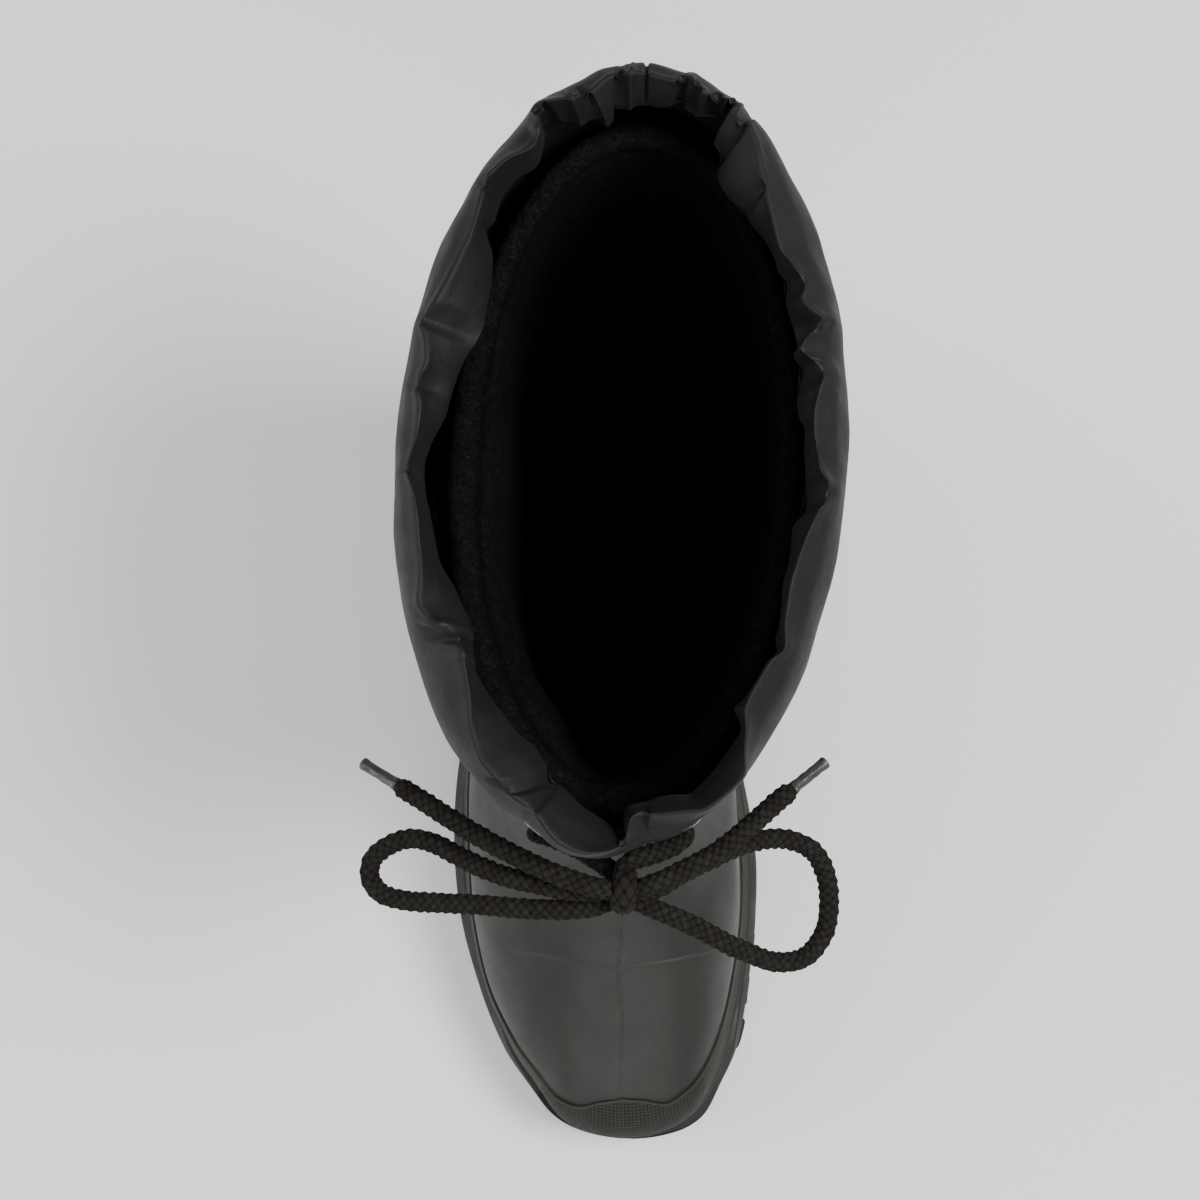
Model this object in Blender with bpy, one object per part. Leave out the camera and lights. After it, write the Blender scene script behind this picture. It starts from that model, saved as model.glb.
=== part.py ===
"""Lined winter rain boot for a right foot, about EU 42.

Metres, Z up.  The toe points to -Y, the inner (medial) side of the foot to +X, and the floor is Z = 0.
Every table below is in millimetres.

The boot is a stack of closed rings.  A ring is tilted: it has a front point on the vamp or shin and a
back point on the heel or calf.  Around a ring the angle runs from the front (0) over the medial side to
the back (pi) and over the lateral side.  A share `foot` blends its outline between the outline of the
sole (1) and an ellipse (0).
"""

import bmesh
import bpy
import numpy as np

MM = 0.001

# Driving dimensions
SOLE_LENGTH = 312.0
SOLE_WIDTH = 122.0
WALL = 3.0                # rubber wall of the foot and shaft
FIT = 0.4                 # gap between faces that touch
LINER_PLAY = 1.0          # the felt boot slides in with this play
FELT_FOOT = 5.0           # thickness of the felt boot round the foot
FELT_COLLAR = 8.5         # and at its rim
INSOLE = 8.0              # height of the felt boot's floor above the sole
FLOOR_SHRINK = (0.96, 0.98)   # the felt boot's floor is drawn in across and along
CORD = 5.0                # drawcord diameter
RAND_STEP = 1.3           # the rand stands proud of the upper by this

# Places on the boot given as ring numbers, counted in rows of the table of rings
LOWER_ROWS = (1.0, 2.0, 3.0)                                     # facets of the foot's walls
UPPER_ROWS = (4.0, 4.8, 5.6, 6.4, 7.2, 8.0, 9.0, 10.0, 12.0)     # facets of the instep and shaft
LINER_FOOT = 0.35         # the felt boot's side turns into its floor here
FELT_THICKENS = (8.0, 12.0)   # the felt grows from its foot to its collar thickness between these
RAND_BEVEL = 0.06         # half the height of the rand's step

AROUND = 48               # facets around the boot
CUFF_AROUND = 90          # and around the gathered cuff
EYELET_AROUND = 16        # and around an eyelet

# Outlines of the sole and of the last, which is the shape inside the rand where the upper meets the sole.
# y from the middle of the sole's length, then each outline's centre line and half width.  The last's
# columns are for the same share of its own, shorter length.
OUTLINE = np.array([
    # y     centre  half_width  last_centre  last_half_width
    (-153,   9.0,   19.0,       8.5,         17.0),
    (-141,   7.5,   34.5,       8.6,         31.2),
    (-123,   5.5,   45.5,       5.8,         41.2),
    (-100,   3.0,   52.8,       3.1,         48.9),
    (-72,    0.8,   58.4,       1.8,         54.2),
    (-48,   -0.4,   60.0,       0.9,         55.2),
    (-15,   -2.5,   57.0,      -1.0,         53.2),
    (30,    -3.0,   47.5,      -2.4,         44.6),
    (65,    -1.5,   43.5,      -1.0,         40.6),
    (100,    0.0,   42.0,       0.4,         39.2),
    (130,    0.5,   37.0,       1.0,         34.2),
    (151,    0.5,   20.5,       1.0,         18.8),
])
SOLE, LAST = 1, 3         # first column of each outline

# Heights along the sole.  along is the share of the length from toe to heel, top is where the upper
# meets the sole, base is the ground of the tread and floor is the underside of the lugs.
SOLE_HEIGHTS = np.array([
    # along  top    base   floor
    (0.00,   26.0,  12.5,   6.5),
    (0.06,   23.2,   9.6,   3.6),
    (0.12,   21.0,   7.4,   1.4),
    (0.18,   19.6,   6.0,   0.0),
    (0.38,   19.0,   6.0,   0.0),
    (0.46,   20.4,   6.2,   0.0),
    (0.53,   23.0,  10.5,   4.5),
    (0.62,   26.8,  13.5,   7.5),
    (0.695,  29.4,  13.8,   7.8),
    (0.71,   29.8,   6.0,   0.0),
    (0.85,   31.6,   6.0,   0.0),
    (1.00,   32.5,   6.0,   0.0),
])

# Side of the sole from the top edge down: share of the height above the tread ground, and how far the
# face stands inside the outline.  It has a rib at the top, a groove and a flared lower wall.
SOLE_SIDE = np.array([
    # height  inset
    (1.00,    4.6),
    (0.94,    3.4),
    (0.83,    3.3),
    (0.76,    4.2),
    (0.68,    4.2),
    (0.62,    2.9),
    (0.28,    0.3),
    (0.10,    0.0),
    (0.00,    1.0),
])

# The tread ledge is this share of the table's inset at the very toe, and grows to full size over the
# first part of the length.  It is wider on the medial side than on the lateral.
LEDGE_AT_TOE = 0.25
LEDGE_GROWS_OVER = 0.18
LEDGE_MEDIAL, LEDGE_LATERAL = 0.8, 0.95

# Rings of the foot and shaft, outside of the rubber.
RINGS = np.array([
    # front_y  front_z  back_y  back_z  width  front_x  back_x  foot  follow
    (-151.6,    26.4,   151.0,   32.9,  55.2,    0.0,    0.0,  1.00,  1.00),
    (-151.6,    34.0,   152.6,   42.0,  52.8,   -1.2,   -0.8,  1.00,  0.90),
    (-150.0,    43.0,   152.8,   54.0,  51.8,   -1.4,   -0.8,  0.98,  0.60),
    (-144.2,    52.0,   151.6,   66.0,  50.6,   -1.2,   -0.5,  0.92,  0.30),
    (-130.4,    61.2,   149.2,   78.0,  49.0,   -0.6,    0.0,  0.78,  0.10),
    (-110.0,    70.4,   146.2,   90.0,  47.0,    0.0,    0.4,  0.55,  0.00),
    (-86.5,     80.6,   143.6,  101.0,  45.0,    0.5,    0.8,  0.34,  0.00),
    (-63.5,     94.0,   142.0,  112.0,  44.5,    0.7,    1.2,  0.18,  0.00),
    (-45.5,    111.0,   141.6,  125.0,  45.0,    0.8,    1.6,  0.08,  0.00),
    (-36.0,    134.0,   142.4,  144.0,  46.4,    0.8,    2.3,  0.02,  0.00),
    (-31.0,    165.0,   144.4,  172.0,  48.2,    0.6,    3.2,  0.00,  0.00),
    (-29.0,    211.0,   147.2,  214.0,  50.4,    0.2,    4.4,  0.00,  0.00),
    (-28.6,    258.0,   149.8,  258.0,  51.8,    0.0,    5.6,  0.00,  0.00),
])

# Rings of the felt boot above the rubber, outside.  It leans in from the lateral side of the cuff.
LINER_COLLAR = np.array([
    # front_y  front_z  back_y  back_z  width  front_x  back_x
    (-24.8,    276.0,   145.0,  277.0,  46.4,   0.2,    6.4),
    (-24.6,    289.0,   144.0,  296.0,  45.0,   0.6,    7.4),
    (-23.2,    292.0,   142.6,  300.0,  43.6,   0.6,    7.6),
])
LINER_RIM_INSIDE = (-17.6, 291.5, 137.0, 299.5, 38.0, 0.6, 7.6)

# Upper edge of the rand as a ring number, by angle from the toe: two hollows beside a middle peak, then
# it runs down on either side and goes on round the heel as a low band.
RAND_EDGE = np.array([
    # degrees  medial  lateral
    (0,        3.78,   3.78),
    (7,        3.64,   3.60),
    (12.5,     3.38,   3.28),
    (18,       3.36,   3.08),
    (24,       3.28,   2.86),
    (35,       3.00,   2.66),
    (43,       2.66,   2.38),
    (50,       2.10,   1.90),
    (58,       1.40,   1.30),
    (68,       1.02,   1.02),
    (80,       1.00,   1.00),
    (180,      1.00,   1.00),
])

# Rings of the cuff, outside of the nylon from its sewn lower edge to the top of the hem.
CUFF_OUTER = np.array([
    # front_y  front_z  back_y  back_z  width  front_x  back_x  gather
    (-29.6,    248.0,   150.2,  248.0,  52.4,   0.0,    5.4,    0.0),
    (-30.0,    261.0,   151.4,  261.0,  53.0,  -0.1,    5.9,    0.1),
    (-31.6,    282.0,   153.6,  283.0,  54.0,  -0.4,    6.8,    0.3),
    (-33.8,    301.0,   155.4,  303.0,  54.6,  -1.2,    7.2,    0.7),
    (-36.2,    313.0,   155.8,  316.0,  54.8,  -1.6,    7.8,    1.0),
    (-36.8,    322.0,   154.6,  326.0,  53.8,  -1.6,    8.0,    1.1),
    (-35.0,    329.0,   151.4,  333.0,  51.2,  -1.6,    8.0,    1.2),
])

# The same for the inner face, from the top of the hem down to the sewn edge.
CUFF_INNER = np.array([
    # front_y  front_z  back_y  back_z  width  front_x  back_x  gather
    (-31.4,    330.4,   147.2,  335.0,  47.8,  -1.6,    7.9,    1.3),
    (-28.4,    326.6,   143.6,  331.6,  45.4,  -1.5,    7.8,    1.3),
    (-27.4,    318.0,   142.4,  323.0,  44.6,  -1.4,    7.6,    1.1),
    (-28.6,    309.0,   144.8,  312.0,  46.0,  -1.2,    7.5,    0.9),
    (-31.4,    301.0,   152.0,  303.0,  51.6,  -1.2,    7.2,    0.7),
    (-30.1,    282.0,   152.1,  283.0,  52.5,  -0.4,    6.8,    0.3),
    (-29.2,    261.0,   150.4,  261.0,  52.3,  -0.1,    5.9,    0.1),
    (-28.95,   248.0,   149.6,  248.0,  51.75,  0.0,    5.4,    0.0),
])

# Gathers of the hem: where a trough lies, how wide it is and how deep it draws the nylon in.
GATHERS = np.array([
    # degrees  width  depth
    (12,       7,     1.6),
    (27,       9,     1.2),
    (48,       8,     1.2),
    (66,       7,     1.6),
    (84,       7,     1.4),
    (101,      7,     1.8),
    (119,      7,     1.6),
    (138,      7,     2.0),
    (156,      6,     2.0),
    (170,      6,     2.2),
    (185,      5,     2.4),
    (198,      6,     2.2),
    (213,      7,     2.0),
    (231,      8,     1.6),
    (253,      9,     1.4),
    (278,      10,    1.2),
    (303,      9,     1.4),
    (325,      8,     1.8),
    (340,      7,     2.4),
])

# Tread lugs: y of each row's middle, its length along the foot, and how many lugs lie across.
TREAD_ROWS = np.array([
    # y     length  across
    (-138,   11,    3),
    (-121,   11,    3),
    (-104,   11,    4),
    (-87,    11,    4),
    (-70,    11,    4),
    (-53,    11,    4),
    (-36,    11,    4),
    (-19,    11,    4),
    (76,     12,    3),
    (94,     12,    3),
    (112,    12,    3),
    (131,    13,    3),
])
LUG_GAP = 5.0             # between lugs of one row
LUG_SKEW = 3.5            # the front rows bend back by this at the edges
HEEL_SKEW = -1.75         # and the heel rows the other way
LUG_INSET = 0.8           # the lugs' ends stand inside the sole's wall by this
LUG_ROOT = 2.0            # the lugs reach this far up into the sole
LUG_OVERHANG = 1.2        # the front medial lugs stand out past the sole's wall
OVERHANG_FROM = -84.0     # forward of this place along the foot

# Route of each strand of the drawcord, from the knot or eyelet outwards.
LEAD_MEDIAL = [
    (18.2, -29.1, 303.3), (19.5, -31.4, 303.2), (18.3, -33.6, 303.4), (15.5, -35.2, 303.6),
    (12.9, -36.2, 303.8), (10.5, -37.4, 303.8),
]
LEAD_LATERAL = [
    (-17.4, -29.9, 303.2), (-18.7, -32.3, 302.4), (-17.3, -34.3, 301.6), (-13.5, -36.2, 301.2),
    (-9.1, -37.9, 301.2), (-4.9, -39.1, 301.6),
]
LOOP_LATERAL = [
    (-4.5, -44.6, 301.6), (-9.6, -44.4, 301.2), (-18.1, -42.8, 299), (-27.1, -40.8, 295), (-36.6, -37, 290),
    (-44.1, -33.5, 286), (-50.1, -32.5, 283), (-56.1, -34.5, 281), (-60.1, -38.2, 280), (-60.5, -42.4, 280),
    (-58.1, -46, 280), (-52.1, -48, 281), (-44.6, -48.4, 284), (-33.1, -48.6, 289), (-18.1, -49.4, 294.4),
    (-9.1, -49.2, 297), (-3.1, -48.4, 297.8),
]
LOOP_MEDIAL = [
    (12.3, -43.6, 300.8), (16.4, -41.2, 300), (25.4, -36.8, 297), (35.4, -33, 293), (44.4, -32.5, 289),
    (51.4, -35.5, 286), (54.9, -41.5, 283), (55.9, -49, 281), (54.4, -56.5, 281), (49.4, -62, 283),
    (41.9, -63, 286), (34.9, -60.5, 289), (29.4, -58, 292), (21.4, -53.6, 295.6), (14.4, -50.4, 297.6),
    (10.7, -48.8, 298.4),
]
END_LATERAL = [
    (-4.5, -43.0, 307.4), (-9.1, -41.6, 307.4), (-18.1, -38.0, 305.6), (-28.1, -33.2, 302), (-38.6, -27.4, 297.5),
    (-46.1, -22.8, 294), (-52.6, -19, 291),
]
END_MEDIAL = [
    (12.3, -42.0, 307.0), (17.9, -39.4, 306.8), (25.9, -35.2, 305.4), (34.9, -28.4, 302), (40.9, -23.4, 299),
    (45.3, -20, 297),
]
KNOT_CENTRE = (3.9, -44.2, 303.0)
KNOT_RADII = (7.6, 5.4, 7.0)
AGLET_LENGTH = 11.0
AGLET_DIAMETER = 3.6

# Eyelets in the front of the hem
EYELET_ANGLES = {"medial": 20.0, "lateral": -17.0}
EYELET_HEIGHT = 303.5
EYELET_RADII = (5.4, 3.1)   # flange and hole
EYELET_PROUD = 1.2
EYELET_START = 0.8          # the flat back clears the curved nylon by this


def clear_scene():
    """Remove every object of the open scene."""
    for thing in list(bpy.data.objects):
        bpy.data.objects.remove(thing, do_unlink=True)


def curve(x, knots, values):
    """Smooth curve through a table's rows: a cubic between rows, with each row's slope the weighted mean
    of the slopes on its two sides."""
    knots = np.asarray(knots, float)
    values = np.asarray(values, float)
    step = np.diff(knots)
    rise = np.diff(values) / step
    slope = np.empty_like(values)
    slope[1:-1] = (rise[:-1] * step[1:] + rise[1:] * step[:-1]) / (step[:-1] + step[1:])
    slope[0], slope[-1] = rise[0], rise[-1]
    x = np.clip(x, knots[0], knots[-1])
    i = np.clip(np.searchsorted(knots, x, side="right") - 1, 0, len(step) - 1)
    t = (x - knots[i]) / step[i]
    return ((2 * t**3 - 3 * t**2 + 1) * values[i] + (t**3 - 2 * t**2 + t) * step[i] * slope[i]
            + (3 * t**2 - 2 * t**3) * values[i + 1] + (t**3 - t**2) * step[i] * slope[i + 1])


def smooth(x):
    """Soft step from 0 to 1."""
    x = np.clip(x, 0.0, 1.0)
    return x * x * (3 - 2 * x)


def along_of(angle):
    """Share of a ring's length from its front to its back at this angle."""
    return (1 - np.cos(angle)) / 2


def outline_parts(angle, column):
    """Centre line and fullness of the sole's or the last's outline.  The fullness times the sine of the
    angle is the half width, which rounds the toe and the heel."""
    share = OUTLINE[:, 0] / SOLE_LENGTH + 0.5
    full = OUTLINE[:, column + 1] / np.sin(np.arccos(1 - 2 * share))
    along = along_of(angle)
    return curve(along, share, OUTLINE[:, column]), curve(along, share, full)


def outline(angle):
    """The sole's outline, set so that its two widest points are equally far from X = 0."""
    every = np.linspace(0, 2 * np.pi, 721)
    centre, full = outline_parts(every, SOLE)
    reach = centre + full * np.sin(every)
    centre, full = outline_parts(angle, SOLE)
    scale = SOLE_WIDTH / (reach.max() - reach.min())
    x = (centre + full * np.sin(angle) - (reach.max() + reach.min()) / 2) * scale
    return x, (along_of(angle) - 0.5) * SOLE_LENGTH


def sole_height(along, column):
    """Height of the sole at a share of its length.  The table's rows are joined straight."""
    return np.interp(along, SOLE_HEIGHTS[:, 0], SOLE_HEIGHTS[:, column])


def top_height(y):
    """Height where the upper meets the sole, a smooth curve along the foot."""
    return curve(y / SOLE_LENGTH + 0.5, SOLE_HEIGHTS[:, 0], SOLE_HEIGHTS[:, 1])


def ring_point(angle, row):
    """Point of a tilted ring.  row holds the ring's columns, each an array like angle."""
    front_y, front_z, back_y, back_z, width, front_x, back_x, foot, follow = row
    along = along_of(angle)
    y = front_y + (back_y - front_y) * along
    centre, full = outline_parts(angle, LAST)
    half = width * (foot * full / OUTLINE[:, LAST + 1].max() + 1 - foot)
    x = half * np.sin(angle) + foot * centre + front_x + (back_x - front_x) * along
    chord = front_z + (back_z - front_z) * along
    sag = top_height(y) - (top_height(front_y) + (top_height(back_y) - top_height(front_y)) * along)
    return np.stack([x, y, chord + follow * sag], axis=-1)


def boot_point(angle, ring):
    """Outside of the rubber at an angle and a ring number, which may lie between two rings."""
    numbers = np.arange(len(RINGS))
    row = [curve(ring, numbers, RINGS[:, column]) for column in range(RINGS.shape[1])]
    return ring_point(angle, row)


def boot_normal(angle, ring):
    """Outward normal of the rubber, from two short steps on its surface."""
    top = len(RINGS) - 1
    low = np.clip(ring - 0.02, 0, top - 0.04)
    around = boot_point(angle + 0.01, ring) - boot_point(angle - 0.01, ring)
    up = boot_point(angle, low + 0.04) - boot_point(angle, low)
    normal = np.cross(around, up)
    return normal / np.linalg.norm(normal, axis=-1, keepdims=True)


def shell_offset(angle, ring, depth):
    """One ring of the boot, set in from the outside of the rubber."""
    ring = np.full_like(angle, ring)
    return boot_point(angle, ring) - boot_normal(angle, ring) * depth


def rand_edge(angle):
    """Ring number of the rand's upper edge."""
    turn = np.degrees(np.arccos(np.cos(angle)))
    column = np.where(np.sin(angle) >= 0, 1, 2)
    medial = curve(turn, RAND_EDGE[:, 0], RAND_EDGE[:, 1])
    lateral = curve(turn, RAND_EDGE[:, 0], RAND_EDGE[:, 2])
    return np.where(column == 1, medial, lateral)


def rand_relief(angle, ring):
    """How far the rand stands proud: a step under its edge."""
    return RAND_STEP * smooth((rand_edge(angle) - ring) / (2 * RAND_BEVEL) + 0.5)


def facet_angles(count, extra=()):
    """Even angles around a ring, with more at the lengths named in extra, mirrored to both sides."""
    half = set(np.linspace(0, np.pi, count // 2 + 1))
    half |= {float(np.arccos(1 - 2 * share)) for share in extra}
    half = np.array(sorted(half))
    return np.concatenate([half, 2 * np.pi - half[-2:0:-1]])


def material(name, colour, roughness, metallic=0.0):
    """Principled material of one finish."""
    made = bpy.data.materials.get(name) or bpy.data.materials.new(name)
    made.use_nodes = True
    shader = made.node_tree.nodes["Principled BSDF"]
    shader.inputs["Base Color"].default_value = (*colour, 1.0)
    shader.inputs["Roughness"].default_value = roughness
    shader.inputs["Metallic"].default_value = metallic
    return made


def add_solid(name, points, faces, finish):
    """Object from points in millimetres, with its faces turned outwards."""
    mesh = bpy.data.meshes.new(name)
    mesh.from_pydata((np.asarray(points) * MM).tolist(), [], faces)
    body = bmesh.new()
    body.from_mesh(mesh)
    if body.calc_volume(signed=True) < 0:
        bmesh.ops.reverse_faces(body, faces=body.faces[:])
    body.to_mesh(mesh)
    body.free()
    mesh.shade_smooth()
    mesh.set_sharp_from_angle(angle=np.radians(40))
    thing = bpy.data.objects.new(name, mesh)
    bpy.context.scene.collection.objects.link(thing)
    mesh.materials.append(finish)
    return thing


def band_faces(rows, count, closed):
    """Quads between stacked rings of count points, closed from the last ring to the first on request."""
    last = rows if closed else rows - 1
    return [
        (r * count + c, r * count + (c + 1) % count,
         (r + 1) % rows * count + (c + 1) % count, (r + 1) % rows * count + c)
        for r in range(last) for c in range(count)
    ]


def cap_faces(first, count, flip):
    """Strips across a ring that is even about the foot's axis, from its medial to its lateral points."""
    half = count // 2
    faces = [(first, first + 1, first + count - 1)]
    faces += [(first + c, first + c + 1, first + count - c - 1, first + count - c) for c in range(1, half - 1)]
    faces += [(first + half - 1, first + half, first + half + 1)]
    return [tuple(reversed(face)) for face in faces] if flip else faces


def tube_solid(name, rings, finish):
    """Hollow solid open at both ends: rings up the outside and down the inside, joined at both rims."""
    count = len(rings[0])
    return add_solid(name, np.concatenate(rings), band_faces(len(rings), count, True), finish)


def capped_solid(name, rings, finish):
    """Solid of stacked rings with a cap on the first and on the last."""
    count = len(rings[0])
    faces = band_faces(len(rings), count, False)
    faces += cap_faces(0, count, True) + cap_faces((len(rings) - 1) * count, count, False)
    return add_solid(name, np.concatenate(rings), faces, finish)


def build_outsole(finish):
    """Sole with its rib, groove and flared wall, its arch, toe spring and heel, and its tread lugs."""
    angle = facet_angles(AROUND, extra=SOLE_HEIGHTS[5:10, 0])
    x, y = outline(angle)
    along = along_of(angle)
    inward = np.stack([np.gradient(y), -np.gradient(x)], axis=-1)
    inward /= np.linalg.norm(inward, axis=-1, keepdims=True)
    grown = LEDGE_AT_TOE + (1 - LEDGE_AT_TOE) * smooth(along / LEDGE_GROWS_OVER)
    ledge = grown * np.where(np.sin(angle) > 0, LEDGE_MEDIAL, LEDGE_LATERAL)
    base = sole_height(along, 2)
    top = top_height(y)
    rings = []
    for height, inset in SOLE_SIDE:
        place = np.stack([x, y], axis=-1) - inward * (inset * ledge)[:, None]
        rings.append(np.column_stack([place, base + (top - base) * height]))
    sole = capped_solid("outsole", rings, finish)
    lugs = build_lugs(finish)
    join = sole.modifiers.new("lugs", "BOOLEAN")
    join.operation = "UNION"
    join.object = lugs
    join.solver = "EXACT"
    return sole


def half_width_at(y):
    """Lateral and medial edge of the outline at a place along the foot."""
    angle = np.arccos(np.clip(-2 * y / SOLE_LENGTH, -1, 1))
    return outline(2 * np.pi - angle)[0], outline(angle)[0]


def build_lugs(finish):
    """Tread lugs as separate blocks, a cutter shape that is joined to the sole.  Rows bend back at the
    edges, and each lug's ends follow the sole's outline."""
    points = []
    faces = []
    for row_y, length, across in TREAD_ROWS:
        skew = LUG_SKEW if row_y < 0 else HEEL_SKEW
        for lug in range(int(across)):
            corners = []
            for end, share_y in ((0, -0.5), (0, 0.5), (1, 0.5), (1, -0.5)):
                y = row_y + share_y * length
                lateral, medial = half_width_at(y)
                lateral += LUG_INSET
                medial += LUG_OVERHANG if y < OVERHANG_FROM else -LUG_INSET
                share = (lug + end) / across
                x = lateral + (medial - lateral) * share
                x += 0 if lug + end in (0, across) else (0.5 - end) * LUG_GAP
                corners.append((x, y + skew * (2 * share - 1) ** 2))
            corners = np.array(corners)
            along = corners[:, 1] / SOLE_LENGTH + 0.5
            low = np.column_stack([corners, sole_height(along, 3)])
            high = np.column_stack([corners, sole_height(along, 2) + LUG_ROOT])
            first = len(points)
            points += [*low, *high]
            faces += [(first, first + 1, first + 2, first + 3), (first + 7, first + 6, first + 5, first + 4)]
            faces += [(first + (c + 1) % 4, first + c, first + 4 + c, first + 4 + (c + 1) % 4) for c in range(4)]
    lugs = add_solid("lug_shapes", points, faces, finish)
    lugs.hide_render = True
    lugs.display_type = "WIRE"
    return lugs


def build_shell(finish):
    """Foot and shaft in one moulding, open at the collar and underneath, with the toe rand as a step."""
    angle = facet_angles(AROUND)
    edge = rand_edge(angle)
    above = edge + RAND_BEVEL
    numbers = [edge * 0.0, edge * 0.5, edge - RAND_BEVEL, above]
    numbers += [above + (UPPER_ROWS[0] - above) * share for share in (0.35, 0.7)]
    numbers += [np.full_like(angle, number) for number in UPPER_ROWS]
    outer = []
    for number in numbers:
        relief = rand_relief(angle, number)
        outer.append(boot_point(angle, number) + boot_normal(angle, number) * relief[:, None])
    outer[0] = outer[0] + (0, 0, FIT)
    inner = [shell_offset(angle, number, WALL) for number in (*UPPER_ROWS[::-1], *LOWER_ROWS[::-1], 0.0)]
    inner[-1] = np.column_stack([inner[-1][:, :2], outer[0][:, 2]])
    return tube_solid("boot_shell", outer + inner, finish)


def felt_thickness(ring):
    """The felt is thicker in the shaft than round the foot."""
    first, last = FELT_THICKENS
    return FELT_FOOT + (FELT_COLLAR - FELT_FOOT) * smooth((ring - first) / (last - first))


def build_liner(finish):
    """Felt boot with a closed foot, inside the rubber and standing above it at the collar."""
    angle = facet_angles(AROUND)
    outset = WALL + LINER_PLAY
    numbers = (*LOWER_ROWS, *UPPER_ROWS)
    outer = [shell_offset(angle, number, outset) for number in (LINER_FOOT, *numbers)]
    inner = [shell_offset(angle, number, outset + felt_thickness(number)) for number in numbers[::-1]]
    collar = [ring_point(angle, [*row, 0.0, 0.0]) for row in LINER_COLLAR]
    rim_inside = ring_point(angle, [*LINER_RIM_INSIDE, 0.0, 0.0])
    underside = np.column_stack([outer[0][:, :2] * FLOOR_SHRINK, top_height(outer[0][:, 1]) + 2 * FIT])
    tread_face = np.column_stack([inner[-1][:, :2] * FLOOR_SHRINK, top_height(inner[-1][:, 1]) + INSOLE])
    return capped_solid("felt_liner", [underside, *outer, *collar, rim_inside, *inner, tread_face], finish)


def gather_depth(angle):
    """How far the drawstring pulls the hem in at an angle: soft troughs, one for each row of the table."""
    degrees = np.degrees(angle)[:, None]
    away = (degrees - GATHERS[:, 0] + 180) % 360 - 180
    return (GATHERS[:, 2] * np.exp(-(away / GATHERS[:, 1]) ** 2)).sum(axis=1)


def cuff_ring(angle, row):
    """One ring of the cuff, drawn in by the gathers."""
    *place, gather = row
    base = ring_point(angle, [*place, 0.0, 0.0])
    middle = np.array([(place[5] + place[6]) / 2, (place[0] + place[2]) / 2])
    spoke = base[:, :2] - middle
    spoke /= np.linalg.norm(spoke, axis=1, keepdims=True)
    base[:, :2] -= spoke * (gather_depth(angle) * gather)[:, None]
    return base


def build_cuff(finish):
    """Nylon collar sewn over the top of the shaft, with the drawstring hem puffed and gathered."""
    angle = facet_angles(CUFF_AROUND)
    rings = [cuff_ring(angle, row) for row in np.concatenate([CUFF_OUTER, CUFF_INNER])]
    return tube_solid("cuff", rings, finish)


def cuff_face(angle, height):
    """Point and outward normal of the cuff's outer face at a height."""
    rows = []
    for shift in (-0.02, 0.0, 0.02):
        rings = np.array([cuff_ring(np.array([angle + shift]), row)[0] for row in CUFF_OUTER])
        rows.append(np.array([np.interp(height + step, rings[:, 2], rings[:, axis])
                              for step in (-2.0, 2.0) for axis in range(3)]).reshape(2, 3))
    around = rows[2].mean(axis=0) - rows[0].mean(axis=0)
    normal = np.cross(around, rows[1][1] - rows[1][0])
    return rows[1].mean(axis=0), normal / np.linalg.norm(normal)


def build_eyelet(side, finish):
    """Pressed metal ring on the face of the hem, with a rounded lip."""
    place, normal = cuff_face(np.radians(EYELET_ANGLES[side]), EYELET_HEIGHT)
    flange, hole = EYELET_RADII
    lip = EYELET_PROUD / 2
    profile = [(flange, 0.0), (flange, lip), ((flange + hole) / 2, EYELET_PROUD), (hole, lip), (hole, 0.0)]
    across = np.cross((0, 0, 1), normal)
    across /= np.linalg.norm(across)
    up = np.cross(normal, across)
    turn = np.linspace(0, 2 * np.pi, EYELET_AROUND, endpoint=False)[:, None]
    spokes = np.cos(turn) * across + np.sin(turn) * up
    start = place + normal * EYELET_START
    rings = [start + spokes * radius + normal * rise for radius, rise in profile]
    return tube_solid(f"eyelet_{side}", rings, finish)


def smooth_route(points, spacing=7.0):
    """Points at an even spacing on a smooth curve through a route's own points."""
    points = np.asarray(points, float)
    run = np.concatenate([[0], np.cumsum(np.linalg.norm(np.diff(points, axis=0), axis=1))])
    steps = np.linspace(0, run[-1], max(len(points), int(np.ceil(run[-1] / spacing)) + 1))
    return np.stack([curve(steps, run, points[:, axis]) for axis in range(3)], axis=-1)


def build_strand(name, points, diameter, finish):
    """Round cord or tag along a route, with flat ends."""
    route = smooth_route(points)
    data = bpy.data.curves.new(name, "CURVE")
    data.dimensions = "3D"
    data.bevel_depth = diameter / 2 * MM
    data.bevel_resolution = 2
    data.use_fill_caps = True
    spline = data.splines.new("POLY")
    spline.points.add(len(route) - 1)
    spline.points.foreach_set("co", np.column_stack([route * MM, np.ones(len(route))]).ravel())
    thing = bpy.data.objects.new(name, data)
    bpy.context.scene.collection.objects.link(thing)
    data.materials.append(finish)
    return thing


def build_aglet(side, end, finish):
    """Clear plastic tip in line with the end of the cord."""
    end = np.asarray(end, float)
    way = end[-1] - end[-2]
    way /= np.linalg.norm(way)
    start = end[-1] + way * FIT
    build_strand(f"aglet_{side}", [start, start + way * AGLET_LENGTH], AGLET_DIAMETER, finish)


def build_knot(finish):
    """Body of the bow's knot, a rounded lump that the strands leave."""
    rows = np.linspace(-1, 1, 9)[1:-1]
    turn = np.linspace(0, 2 * np.pi, 16, endpoint=False)
    centre = np.array(KNOT_CENTRE)
    radii = np.array(KNOT_RADII)
    rings = []
    for row in np.sin(rows * np.pi / 2):
        flat = np.sqrt(1 - row * row)
        ring = np.stack([np.full_like(turn, row), flat * np.cos(turn), flat * np.sin(turn)], axis=-1)
        rings.append(centre + ring * radii)
    return capped_solid("bow_knot", rings, finish)


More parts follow.
